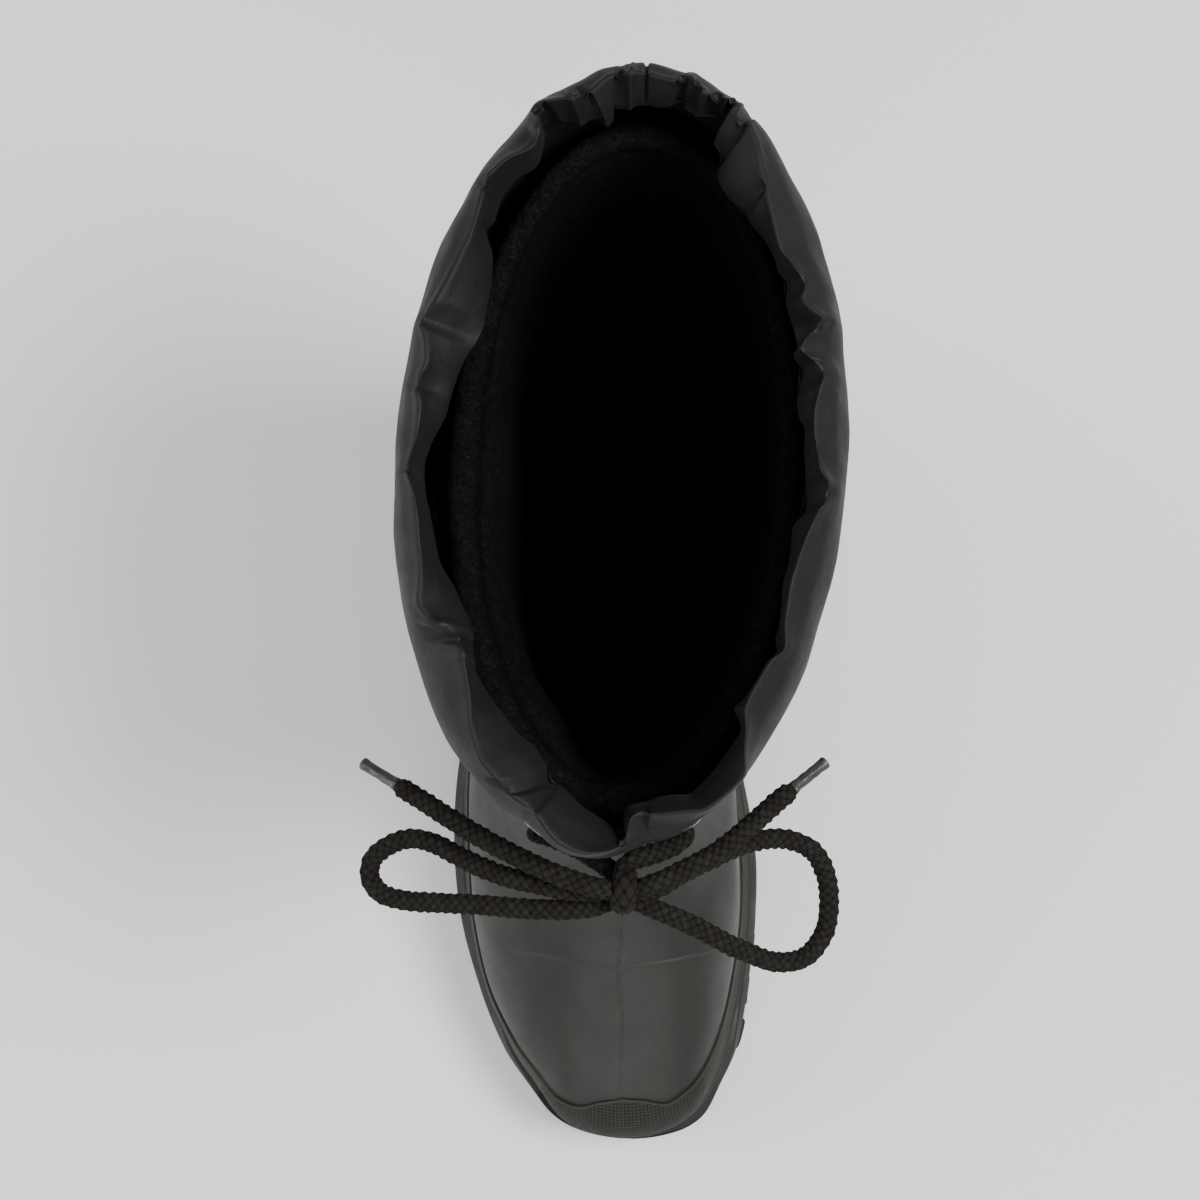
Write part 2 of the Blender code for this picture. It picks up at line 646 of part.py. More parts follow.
def main():
    """Build the boot: sole, rubber, felt boot, cuff, then the drawcord and its metal and plastic."""
    clear_scene()
    rubber = material("olive_rubber", (0.055, 0.06, 0.05), 0.62)
    tread = material("dark_rubber", (0.03, 0.032, 0.03), 0.7)
    nylon = material("black_nylon", (0.02, 0.019, 0.022), 0.5)
    felt = material("black_felt", (0.012, 0.012, 0.012), 0.95)
    cord = material("charcoal_cord", (0.02, 0.021, 0.02), 0.85)
    brass = material("brass", (0.75, 0.6, 0.42), 0.3, 1.0)
    clear = material("clear_tip", (0.2, 0.2, 0.2), 0.3)
    build_outsole(tread)
    build_shell(rubber)
    build_liner(felt)
    build_cuff(nylon)
    for side in EYELET_ANGLES:
        build_eyelet(side, brass)
    build_knot(cord)
    strands = {
        "cord_lead_medial": LEAD_MEDIAL, "cord_lead_lateral": LEAD_LATERAL,
        "bow_loop_medial": LOOP_MEDIAL, "bow_loop_lateral": LOOP_LATERAL,
        "cord_end_medial": END_MEDIAL, "cord_end_lateral": END_LATERAL,
    }
    for name, route in strands.items():
        build_strand(name, route, CORD, cord)
    build_aglet("medial", END_MEDIAL, clear)
    build_aglet("lateral", END_LATERAL, clear)


main()
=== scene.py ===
"""Finished surfaces of a lined winter rain boot for a right foot, laid out as an add-on and run as a script.

Z is up, the toe points to -Y and the inner (medial) side of the foot to +X.  Tables and shapes are in
millimetres and become metres when a piece is made, and the cord's routes, the camera and the lights are in
metres.
"""

import bpy
import numpy as np
from bpy.props import FloatProperty, FloatVectorProperty, IntProperty, PointerProperty
from bpy.types import Operator, Panel, PropertyGroup
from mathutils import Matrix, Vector


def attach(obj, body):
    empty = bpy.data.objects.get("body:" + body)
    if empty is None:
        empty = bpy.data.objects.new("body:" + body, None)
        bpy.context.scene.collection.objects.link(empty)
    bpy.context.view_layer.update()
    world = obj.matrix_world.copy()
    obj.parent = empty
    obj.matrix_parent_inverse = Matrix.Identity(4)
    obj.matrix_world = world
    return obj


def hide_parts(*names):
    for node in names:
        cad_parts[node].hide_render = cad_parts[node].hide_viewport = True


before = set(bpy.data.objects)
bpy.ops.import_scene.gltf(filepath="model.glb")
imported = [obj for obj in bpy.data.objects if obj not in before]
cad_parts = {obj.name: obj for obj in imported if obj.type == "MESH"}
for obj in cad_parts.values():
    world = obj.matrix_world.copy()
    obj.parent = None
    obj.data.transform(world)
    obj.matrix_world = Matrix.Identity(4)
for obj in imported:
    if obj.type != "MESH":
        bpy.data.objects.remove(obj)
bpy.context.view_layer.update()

bl_info = {
    "name": "Lined Rain Boot",
    "version": (1, 0, 0),
    "blender": (4, 5, 0),
    "location": "View3D > Sidebar > Rain Boot",
    "description": "Builds the rubber, sole, felt boot, gathered cuff and tied drawcord of a rain boot",
    "category": "Add Mesh",
}

MM = 0.001
TURN = 2 * np.pi
SOLE_LENGTH, SOLE_WIDTH = 312.0, 122.0
# Thickness of the rubber, play between the rubber and the felt boot, and gap between parts that are fitted.
WALL, LINER_PLAY, FIT = 3.0, 1.0, 0.4
# Thickness of the felt round the foot, at the collar and under the foot, the rings over which it thickens,
# and the share of its width and length that its floor keeps where it rounds into the side.
FELT_FOOT, FELT_COLLAR, INSOLE = 5.0, 8.5, 8.0
FELT_THICKENS = (8.0, 12.0)
FLOOR_SHRINK = (0.96, 0.98)
# Columns of the felt and of the cuff, rings at which the felt's outside is made, and how far it rolls in.
FELT_COLUMNS, CUFF_COLUMNS, FELT_ROLL = 400, 900, 10.0
FELT_OUTER_RINGS = (0.35, 1.0, 2.0, 3.0, 4.0, 6.0, 8.0, 10.0, 12.0)

# Outlines of the sole and of the last, by place along the foot.
OUTLINE = np.array([
    # y     centre  half_width  last_centre  last_half_width
    (-153,   9.0,   19.0,       8.5,         17.0),
    (-141,   7.5,   34.5,       8.6,         31.2),
    (-123,   5.5,   45.5,       5.8,         41.2),
    (-100,   3.0,   52.8,       3.1,         48.9),
    (-72,    0.8,   58.4,       1.8,         54.2),
    (-48,   -0.4,   60.0,       0.9,         55.2),
    (-15,   -2.5,   57.0,      -1.0,         53.2),
    (30,    -3.0,   47.5,      -2.4,         44.6),
    (65,    -1.5,   43.5,      -1.0,         40.6),
    (100,    0.0,   42.0,       0.4,         39.2),
    (130,    0.5,   37.0,       1.0,         34.2),
    (151,    0.5,   20.5,       1.0,         18.8),
])
SOLE, LAST = 1, 3

# Heights along the sole: where the upper meets it, the ground of the tread, and the lugs' underside.
SOLE_HEIGHTS = np.array([
    # along  top    base   floor
    (0.00,   26.0,  12.5,   6.5),
    (0.06,   23.2,   9.6,   3.6),
    (0.12,   21.0,   7.4,   1.4),
    (0.18,   19.6,   6.0,   0.0),
    (0.38,   19.0,   6.0,   0.0),
    (0.46,   20.4,   6.2,   0.0),
    (0.53,   23.0,  10.5,   4.5),
    (0.62,   26.8,  13.5,   7.5),
    (0.695,  29.4,  13.8,   7.8),
    (0.71,   29.8,   6.0,   0.0),
    (0.85,   31.6,   6.0,   0.0),
    (1.00,   32.5,   6.0,   0.0),
])

# Side of the sole from its top edge down: rib, groove and flared wall with a soft lower edge.
SOLE_SIDE = np.array([
    # height, inset
    (1.000, 4.90), (0.985, 4.35), (0.960, 3.75), (0.920, 3.40), (0.870, 3.35), (0.820, 3.60),
    (0.785, 4.10), (0.745, 4.30), (0.700, 4.25), (0.665, 3.70), (0.630, 3.00), (0.560, 2.30),
    (0.420, 1.20), (0.280, 0.40), (0.160, 0.10), (0.090, 0.05), (0.040, 0.30), (0.000, 1.10),
])
# Share of the side's insets at the tip of the toe, share of the length over which it grows to 1, and the
# factor of each side.
LEDGE_AT_TOE, LEDGE_GROWS_OVER = 0.25, 0.18
LEDGE_MEDIAL, LEDGE_LATERAL = 0.8, 0.95

# Rings of the foot and shaft, outside of the rubber.  foot is the share of the last's outline in a ring's own
# outline, and follow is how far the ring follows the rise and fall of the sole's top edge.
RINGS = np.array([
    # front_y  front_z  back_y  back_z  width  front_x  back_x  foot  follow
    (-151.6,    26.4,   151.0,   32.9,  55.2,    0.0,    0.0,  1.00,  1.00),
    (-151.6,    34.0,   152.6,   42.0,  52.8,   -1.2,   -0.8,  1.00,  0.90),
    (-150.0,    43.0,   152.8,   54.0,  51.8,   -1.4,   -0.8,  0.98,  0.60),
    (-144.2,    52.0,   151.6,   66.0,  50.6,   -1.2,   -0.5,  0.92,  0.30),
    (-130.4,    61.2,   149.2,   78.0,  49.0,   -0.6,    0.0,  0.78,  0.10),
    (-110.0,    70.4,   146.2,   90.0,  47.0,    0.0,    0.4,  0.55,  0.00),
    (-86.5,     80.6,   143.6,  101.0,  45.0,    0.5,    0.8,  0.34,  0.00),
    (-63.5,     94.0,   142.0,  112.0,  44.5,    0.7,    1.2,  0.18,  0.00),
    (-45.5,    111.0,   141.6,  125.0,  45.0,    0.8,    1.6,  0.08,  0.00),
    (-36.0,    134.0,   142.4,  144.0,  46.4,    0.8,    2.3,  0.02,  0.00),
    (-31.0,    165.0,   144.4,  172.0,  48.2,    0.6,    3.2,  0.00,  0.00),
    (-29.0,    211.0,   147.2,  214.0,  50.4,    0.2,    4.4,  0.00,  0.00),
    (-28.6,    258.0,   149.8,  258.0,  51.8,    0.0,    5.6,  0.00,  0.00),
])
TOP_RING = len(RINGS) - 1

# Rings of the felt boot above the rubber, outside, then over its rim to the inside.
FELT_RIM = np.array([
    # front_y  front_z  back_y  back_z  width  front_x  back_x
    (-27.6,    276.0,   145.8,  279.0,  46.4,   0.2,    6.4),
    (-28.2,    285.0,   146.2,  295.0,  45.5,   0.4,    7.0),
    (-28.0,    290.0,   146.2,  303.4,  44.7,   0.6,    7.5),
    (-26.4,    292.4,   145.2,  306.8,  43.2,   0.6,    7.6),
    (-23.0,    293.0,   142.8,  307.6,  40.8,   0.6,    7.6),
    (-19.8,    291.6,   140.2,  306.2,  38.4,   0.6,    7.6),
    (-18.0,    288.0,   139.0,  301.0,  37.4,   0.5,    7.3),
    (-16.6,    277.0,   138.2,  283.0,  38.0,   0.3,    6.6),
])

# Upper edge of the rand as a ring number, by angle from the toe.
RAND_EDGE = np.array([
    # degrees, medial, lateral
    (0, 3.78, 3.78),    (7, 3.64, 3.60),    (12.5, 3.38, 3.28), (18, 3.36, 3.08),
    (24, 3.28, 2.86),   (35, 3.00, 2.66),   (43, 2.66, 2.38),   (50, 2.10, 1.90),
    (58, 1.40, 1.30),   (68, 1.02, 1.02),   (80, 1.00, 1.00),   (180, 1.00, 1.00),
])

# The rand's columns lie a quarter of a pimple apart up to an angle, then widen over some degrees to a
# spacing.  The places of its rows are read from a scale of rows that ends at a ring above the rand.
RAND_FINE_TO, RAND_WIDENS_OVER, RAND_COLUMN = 84, 12, 1.4
RAND_SCALE_TOP, RAND_SCALE_ROWS = 4.6, 185
# Degrees from the toe at which the lines of its lateral side, the diagonal pimples and the plain band start,
# and the degrees over which each comes in.
LINES_FROM, DIAGONAL_FROM, PLAIN_FROM = (9, 5), (24, 12), (92, 8)
# Height of the bead and of the valley above the rand's lower edge, and their widths.
BEAD_AT, BEAD_WIDTH, VALLEY_AT, VALLEY_WIDTH = 0.85, 0.38, 1.9, 0.4
# Bare strips at the rand's upper and lower edge, and the height over which the pimples come in there.
STRIP_ABOVE, STRIP_BELOW, STRIP_EDGE = 0.7, 1.7, 0.6

# Mould seam down the middle of the vamp, and the welt that crosses the vamp, by ring and by angle.
VAMP_SEAM = np.array([
    # ring, degrees
    (2.3, -0.5), (3.8, -0.8), (4.6, 0.2),  (5.4, 1.5),  (6.1, 1.2),
    (6.5, 2.5),  (7.0, 3.0),  (9.0, 1.5),  (12.0, 0.0),
])
VAMP_WELT = np.array([
    # degrees, ring
    (-180, 2.90), (-66, 2.90),  (-56, 3.12),  (-50, 4.12),  (-40, 4.98),
    (-18, 5.94),  (1, 6.10),    (12, 6.02),   (23, 5.78),   (37, 5.20),
    (50, 4.24),   (60, 3.10),   (70, 2.90),   (180, 2.90),
])

# Degrees round the mould seam and the heel seam with fine columns, and their spacing.
SEAM_COLUMNS, HEEL_COLUMNS, FINE_COLUMN = (-2.5, 5.01), (177.5, 182.51), 0.25
# Half of the band of fine rows at the welt, in rings, and the rows below it, in it and above it.
WELT_BAND, ROWS_BELOW, ROWS_IN, ROWS_ABOVE = 0.14, 61, 27, 91
# Widths of the mould seam, the heel seam and the welt, and millimetres in a degree at the heel.
SEAM_WIDTH, HEEL_SEAM_WIDTH, WELT_WIDTH, HEEL_DEGREE = 0.42, 0.5, 0.5, 0.8
# Degrees from the toe at which the welt has faded out, over how many it fades, and where the hollow below it
# lies and how wide it is.
WELT_ENDS, WELT_FADES_OVER, HOLLOW_AT, HOLLOW_WIDTH = 56, 26, -1.3, 0.8
# Rings at which the inner face of the rubber is made, from the collar down.
INNER_RINGS = (12.0, 11.0, 10.0, 9.0, 8.0, 7.2, 6.4, 5.6, 4.8, 4.0, 3.0, 2.0, 1.0, 0.0)

# Rings of the cuff's outer face from its sewn lower edge to where the hem is widest, and of its inner face.
CUFF_OUTER = np.array([
    # front_y  front_z  back_y  back_z  width  front_x  back_x  gather
    (-29.6,    248.0,   150.2,  248.0,  52.4,   0.0,    5.4,    0.0),
    (-30.0,    261.0,   151.4,  261.0,  53.0,  -0.1,    5.9,    0.1),
    (-31.6,    282.0,   153.6,  283.0,  54.0,  -0.4,    6.8,    0.3),
    (-33.8,    301.0,   155.4,  303.0,  54.6,  -1.2,    7.2,    0.7),
    (-36.2,    313.0,   155.8,  316.0,  54.8,  -1.6,    7.8,    1.0),
])
CUFF_INNER = np.array([
    # front_y  front_z  back_y  back_z  width  front_x  back_x  gather
    (-31.4,    301.0,   152.0,  303.0,  51.6,  -1.2,    7.2,    0.7),
    (-30.1,    282.0,   152.1,  283.0,  52.5,  -0.4,    6.8,    0.3),
    (-29.2,    261.0,   150.4,  261.0,  52.3,  -0.1,    5.9,    0.1),
    (-28.95,   248.0,   149.6,  248.0,  51.75,  0.0,    5.4,    0.0),
])

# Key rings of the hem above its widest ring, up over the crest, down to the inner edge and back under it.
# A ring lies inwards by its shares of the crest's and of the edge's place and of the set-back over the medial
# eyelet, and by a length; it lies up by a length and by its share of a slow wave.
HEM_TURN = np.array([
    # crest  edge   back   in     up     lift
    (0.10,   0,     1.05,  0,     6.0,   0.3),
    (0.42,   0,     1.25,  0,     11.8,  0.7),
    (0.80,   0,     1.05,  0,     15.2,  1),
    (1,      0,     1,     0.40,  17.0,  1),
    (0.75,   0.25,  0.8,   0.45,  15.3,  1),
    (0.34,   0.66,  0.3,   0.30,  11.6,  0.6),
    (0,      1,     0,     0,     7.4,   0),
    (0,      1,     0,     -0.5,  6.3,   0),
    (0,      0.62,  0,     0,     2.0,   0),
    (0,      0,     0,     3.6,   -5.0,  0),
])
# The set-back: how far, at which angle and over how many degrees to each side.
SET_BACK, SET_BACK_AT, SET_BACK_WIDTH = 3.3, 13, 10
# How much weaker the gathers are away from the front.  They weaken from these degrees on each side, over
# some more.
GATHER_CUT, GATHERS_MEDIAL, GATHERS_LATERAL = 0.65, (9, 10), (40, 16)
# Back seam: its angle and width in degrees and its depth.  Row of stitches: its key ring, width and depth.
BACK_SEAM, STITCHES = (178.5, 0.55, 1.0), (3.0, 0.10, 0.7)
# Degrees round each eyelet in which the outer face lies flat.
FLAT_AT_EYELETS = 9.0

# How the hem turns over: how far in its inner edge and its crest lie from its widest ring.
HEM = np.array([
    # degrees, edge, crest
    (0, 9.0, 0.8),       (4, 6.5, 0.5),       (6, 4.0, 0.5),       (7.5, 9.5, 3.0),     (9, 9.9, 4.2),
    (12, 9.8, 3.8),      (19, 10.0, 3.2),     (22.5, 8.7, 2.6),    (26, 6.0, 0.8),      (33, 6.5, 0.6),
    (36.5, 7.3, 0.6),    (40, 7.5, 4.2),      (43, 7.5, 6.2),      (46, 11.0, 8.8),     (49, 10.0, 9.2),
    (53, 9.5, 9.0),      (56, 9.3, 8.6),      (58, 9.3, 6.3),      (62, 9.6, 8.6),      (65.5, 10.4, 9.3),
    (68.5, 11.4, 9.9),   (72, 11.4, 9.8),     (75, 12.0, 9.3),     (78.5, 12.6, 7.7),   (81.5, 11.6, 5.7),
    (84, 10.7, 4.8),     (86, 10.6, 7.8),     (91.5, 11.7, 9.7),   (95, 12.5, 9.5),     (98.5, 13.0, 7.7),
    (101, 13.0, 6.3),    (104, 12.7, 12.0),   (106, 11.7, 10.8),   (108, 11.8, 5.3),    (112, 13.0, 10.4),
    (114, 13.7, 8.5),    (118, 13.3, 9.8),    (121, 12.9, 12.0),   (125, 13.5, 11.8),   (129.5, 15.1, 11.0),
    (132, 16.4, 10.0),   (136, 16.6, 9.0),    (141.5, 16.4, 6.5),  (146, 14.2, 5.5),    (149, 12.0, 6.5),
    (152, 9.0, 4.0),     (154.5, 7.0, 4.5),   (158, 9.0, 6.5),     (163, 10.0, 6.0),    (165.5, 8.7, 4.5),
    (168.5, 10.1, 7.0),  (174, 11.5, 7.5),    (180, 11.4, 7.0),    (184, 10.7, 6.0),    (190.5, 13.0, 6.5),
    (196, 15.0, 8.0),    (199, 11.5, 7.5),    (202, 9.7, 7.0),     (206.5, 7.3, 4.5),   (208.5, 6.0, 3.0),
    (211, 8.0, 6.0),     (215.5, 11.0, 9.5),  (218, 11.4, 9.0),    (222, 9.0, 6.5),     (227, 8.7, 5.0),
    (230, 9.7, 6.2),     (233.5, 10.6, 7.3),  (237.5, 14.0, 7.9),  (241, 15.4, 7.6),    (245, 15.8, 6.6),
    (249, 16.2, 5.0),    (251.5, 15.6, 2.2),  (254.5, 14.2, 5.1),  (257.5, 13.4, 6.1),  (261, 12.4, 4.6),
    (264, 12.0, 6.3),    (268, 9.6, 6.3),     (271, 8.3, 5.2),     (273.5, 8.0, 3.9),   (277, 8.3, 5.8),
    (281, 9.2, 6.4),     (287, 10.6, 6.7),    (291, 13.2, 5.8),    (293.5, 13.8, 4.4),  (297, 14.9, 7.2),
    (300, 14.6, 11.9),   (306, 13.0, 10.8),   (311, 13.7, 9.5),    (316.5, 14.5, 6.6),  (323, 13.9, 3.7),
    (329, 15.2, 4.0),    (334.5, 14.3, 4.0),  (340, 12.0, 3.5),    (348, 12.2, 1.6),    (356, 10.5, 0.8),
    (360, 9.0, 0.8),
])

# Soft troughs that the drawstring draws into the outer face.
GATHERS = np.array([
    # degrees, width, depth
    (12, 7, 1.6),   (27, 9, 1.2),   (48, 8, 1.2),   (66, 7, 1.6),   (84, 7, 1.4),
    (101, 7, 1.8),  (119, 7, 1.6),  (138, 7, 2.0),  (156, 6, 2.0),  (170, 6, 2.2),
    (185, 5, 2.4),  (198, 6, 2.2),  (213, 7, 2.0),  (231, 8, 1.6),  (253, 9, 1.4),
    (278, 10, 1.2), (303, 9, 1.4),  (325, 8, 1.8),  (340, 7, 2.4),
])

# Pleats of the hem.  Each is a wedge that starts at a point and opens along the section, from one number
# of the hem's key rings to another; lean moves it round as it opens, and depth below zero is a ridge.
PLEATS = np.array([
    # degrees, lean, width, start, end, depth
    (5.5, 0, 1.8, 5.0, 11.5, 1.2),     (11.5, 1.5, 4.4, 4.0, 9.5, 1.3),   (46, 0, 2.0, 8.0, 11.5, -0.8),
    (58, 0, 2.6, 8.2, 11.5, 1.3),      (83, -3, 4.0, 6.5, 11.5, 2),       (89, 0, 2.4, 6.0, 9.0, 0.8),
    (93, 0, 2.4, 8.8, 11.5, 0.8),      (101, 1.5, 4.0, 6.8, 11.5, 2),     (104.5, 0, 2.0, 7.0, 11.5, -0.9),
    (108, -1, 2.2, 6.3, 10.0, 1.6),    (115, 2, 4.0, 7.2, 11.5, 1.7),     (134, -2, 4.0, 7.6, 11.5, 1.4),
    (149, -3, 3.2, 4.6, 11.0, 2.4),    (151.5, -2, 2.2, 5.2, 11.5, -1.2), (153, 0, 2.4, 7.0, 11.5, 2.8),
    (156.5, -1, 3.2, 6.2, 10.8, 2.2),  (160, 0, 2.2, 7.0, 11.0, -0.8),    (163, 0, 3.2, 7.0, 10.5, 1.4),
    (168, -2, 2.2, 5.2, 11.0, 1.7),    (182, 3, 2.4, 5.2, 11.0, -1.1),    (185, 5, 3.2, 5.0, 11.5, 2.4),
    (198.5, -2, 2.8, 6.2, 11.5, 2.4),  (202, -1, 2.2, 5.8, 11.5, -1.1),   (209.5, 0, 3.0, 6.5, 11.5, 2.6),
    (213, 0, 3.0, 6.0, 10.0, -0.7),    (227.5, 1, 2.2, 5.5, 10.0, 1.2),   (233.5, -1, 2.6, 9.0, 11.5, 1.2),
    (251.3, 0, 2.6, 5.5, 10.0, 1.3),   (261, 0, 2.2, 5.5, 9.5, 0.9),      (273.5, 0, 2.2, 5.5, 9.5, 0.9),
    (295.5, 5, 2.4, 6.0, 10.5, -1.1),  (299.5, 3, 2.4, 6.0, 9.8, 1.5),    (303, 2, 2.2, 6.5, 10.5, -0.6),
    (325, 15, 4.0, 5.5, 11.0, 1.8),    (339, 2, 2.4, 5.5, 10.0, 0.9),
])

# Tread lugs: y of each row's middle, its length along the foot, and how many lugs lie across.
TREAD_ROWS = np.array([
    # y, length, across
    (-138, 11, 3), (-121, 11, 3), (-104, 11, 4), (-87, 11, 4),
    (-70, 11, 4),  (-53, 11, 4),  (-36, 11, 4),  (-19, 11, 4),
    (76, 12, 3),   (94, 12, 3),   (112, 12, 3),  (131, 13, 3),
])
# Gap between lugs, how far the ends of a row lie behind its middle under the ball and under the heel, how
# far the lugs stay inside the lateral outline and how far they reach up into the sole; grid lines of a lug.
LUG_GAP, LUG_SKEW, HEEL_SKEW, LUG_INSET, LUG_ROOT = 5.0, 3.5, -1.75, 0.8, 2.0
LUG_LINES = 7
# How far the lugs stand out past the medial outline, by y.
MEDIAL_OVERHANG = np.array([
    # y, out
    (-138, 2.0), (-118, 2.0), (-106, 0.9), (-80, 0.7),  (-78, -1.0),
])

# Route of each strand of the drawcord, in metres: a lead from its eyelet to the knot, a loop or an end from
# the knot outwards.
LEAD_MEDIAL = np.array([
    (0.0182, -0.0291, 0.3033), (0.0191, -0.0312, 0.3032), (0.0170, -0.0331, 0.3034),
    (0.0137, -0.0345, 0.3038), (0.0101, -0.0357, 0.3046), (0.0062, -0.0368, 0.3054),
    (0.0035, -0.0389, 0.3048),
])
LEAD_LATERAL = np.array([
    (-0.0172, -0.0296, 0.3030), (-0.0179, -0.0306, 0.3000), (-0.0176, -0.0308, 0.2955),
    (-0.0152, -0.0316, 0.2900), (-0.0112, -0.0333, 0.2876), (-0.0073, -0.0349, 0.2900),
    (-0.0036, -0.0370, 0.2945), (-0.0003, -0.0391, 0.2980), (0.0018, -0.0413, 0.2992),
])
LOOP_LATERAL = np.array([
    (-0.0045, -0.0446, 0.3016), (-0.0096, -0.0444, 0.3012), (-0.0181, -0.0428, 0.299),
    (-0.0271, -0.0408, 0.295), (-0.0366, -0.037, 0.29), (-0.0441, -0.0335, 0.286),
    (-0.0501, -0.0325, 0.283), (-0.0561, -0.0345, 0.281), (-0.0601, -0.0382, 0.28),
    (-0.0605, -0.0424, 0.28), (-0.0581, -0.046, 0.28), (-0.0521, -0.048, 0.281),
    (-0.0446, -0.0484, 0.284), (-0.0331, -0.0486, 0.289), (-0.0181, -0.0494, 0.2944),
    (-0.0091, -0.0492, 0.297), (-0.0031, -0.0484, 0.2978),
])
LOOP_MEDIAL = np.array([
    (0.0123, -0.0436, 0.3008), (0.0164, -0.0412, 0.3), (0.0254, -0.0368, 0.297),
    (0.0354, -0.033, 0.293), (0.0444, -0.0325, 0.289), (0.0514, -0.0355, 0.286),
    (0.0549, -0.0415, 0.283), (0.0559, -0.049, 0.281), (0.0544, -0.0565, 0.281),
    (0.0494, -0.062, 0.283), (0.0419, -0.063, 0.286), (0.0349, -0.0605, 0.289),
    (0.0294, -0.058, 0.292), (0.0214, -0.0536, 0.2956), (0.0144, -0.0504, 0.2976),
    (0.0107, -0.0488, 0.2984),
])
END_LATERAL = np.array([
    (-0.0045, -0.043, 0.3074), (-0.0091, -0.0416, 0.3074), (-0.0181, -0.038, 0.3056),
    (-0.0281, -0.0332, 0.302), (-0.0386, -0.0274, 0.2975), (-0.0461, -0.0228, 0.294),
    (-0.0526, -0.019, 0.291),
])
END_MEDIAL = np.array([
    (0.0123, -0.042, 0.307), (0.0179, -0.0394, 0.3068), (0.0259, -0.0352, 0.3054),
    (0.0349, -0.0284, 0.302), (0.0409, -0.0234, 0.299), (0.0453, -0.02, 0.297),
])
# Where each strand passes through the knot between its lead and its loop.
KNOT_PASS = {"medial": (0.0042, -0.0436, 0.3004), "lateral": (0.0030, -0.0444, 0.2996)}
KNOT_CENTRE = np.array((3.9, -44.2, 303.0))
# The wrap's cord against the rest of the cord.
WRAP_SWELL = 1.18
# Spacing of a braid's rows, length of one of its lumps, and columns round it.
BRAID_STEP, BRAID_LUMP, BRAID_COLUMNS = 0.3, 2.5, 60
# Rows and sides of a loose hair's tube, its radius at the root, and the shortest and longest hair.
HAIR_ROWS, HAIR_SIDES, HAIR_RADIUS, HAIR_LENGTHS = 5, 3, 0.045, (0.8, 3.4)
# Columns round a tip and the length round it, and columns round an eyelet.
TIP_COLUMNS, TIP_ROUND, EYELET_COLUMNS = 36, 9.4, 64
# Angle of each eyelet in degrees, height of their middle, radii of flange and hole, and how far each starts
# off the cuff's face.
EYELET_ANGLES = {"medial": 20.0, "lateral": -17.0}
EYELET_HEIGHT = 303.5
EYELET_RADII = (5.4, 3.1)
EYELET_START = {"medial": 0.75, "lateral": 0.1}

# Camera: place in metres, tilt in degrees, focal length and sensor width in millimetres, and nearest
# distance in metres.
CAMERA_PLACE, CAMERA_TILT = (-0.0021, -0.0191, 0.747), 5.82
CAMERA_LENS, CAMERA_SENSOR, CAMERA_NEAR = 54.57, 36.0, 0.02
# Half the floor's side and the point at which the lights aim, in metres, and the glow of the surroundings.
FLOOR_HALF, LIGHT_TARGET = 3.0, Vector((0.0, -0.01, 0.1))
WORLD_COLOUR, WORLD_STRENGTH = (0.95, 0.97, 1.0, 1.0), 0.12
LIGHTS = {
    # name: place and size in metres, watts
    "soft_left":       ((-1.05, -0.05, 0.42), 1.0, 0.45, 6.5),
    "soft_left_high":  ((-0.90, 0.15, 0.95), 0.7, 0.5, 2.5),
    "soft_right":      ((0.90, 0.60, 0.55), 0.9, 0.5, 1.5),
    "soft_high":       ((0.55, 0.02, 1.15), 0.4, 0.4, 15.0),
    "soft_top":        ((-0.25, 0.35, 1.50), 0.8, 0.8, 5.0),
    "soft_front":      ((0.0, -1.25, 0.80), 1.2, 0.6, 10.0),
}


def size_property(label, about, value, low, high, kind=FloatProperty):
    """Size or count that a user may change."""
    return kind(name=label, description=about, default=value, min=low, max=high)


class BootSizes(PropertyGroup):
    """Sizes of the boot's fine surface detail, in millimetres."""

    rand_step: size_property("Rand Step", "How far the rand stands proud of the upper", 1.0, 0.2, 3.0)
    pimple_pitch: size_property("Pimple Pitch", "Distance between pimples of the rand", 1.55, 0.8, 4.0)
    pimple_height: size_property("Pimple Height", "How far the rand's pimples stand up", 0.50, 0.0, 1.0)
    seam_height: size_property("Seam Height", "Height of the mould seam and of the vamp's welt",
                               0.38, 0.0, 1.5)
    cord_diameter: size_property("Cord Diameter", "Diameter of the braided drawcord", 5.0, 2.0, 8.0)
    braid_relief: size_property("Braid Relief", "Height of the braid's lumps", 0.5, 0.0, 1.0)
    braid_around: size_property("Braid Lumps Around", "Lumps of one slant round the cord",
                                5, 3, 12, IntProperty)
    felt_nap: size_property("Felt Nap", "Unevenness of the felt's surface", 0.28, 0.0, 1.0)
    felt_hairs: size_property("Felt Hairs", "Loose hairs on the felt's rim", 1500, 0, 4000, IntProperty)
    pleat_scale: size_property("Pleat Scale", "Depth of the hem's pleats against their table", 1.0, 0.0, 2.0)


def colour_property(label, about, value):
    """Linear colour that a user may change."""
    return FloatVectorProperty(name=label, description=about, subtype="COLOR", size=3, min=0.0, max=1.0,
                               default=value)


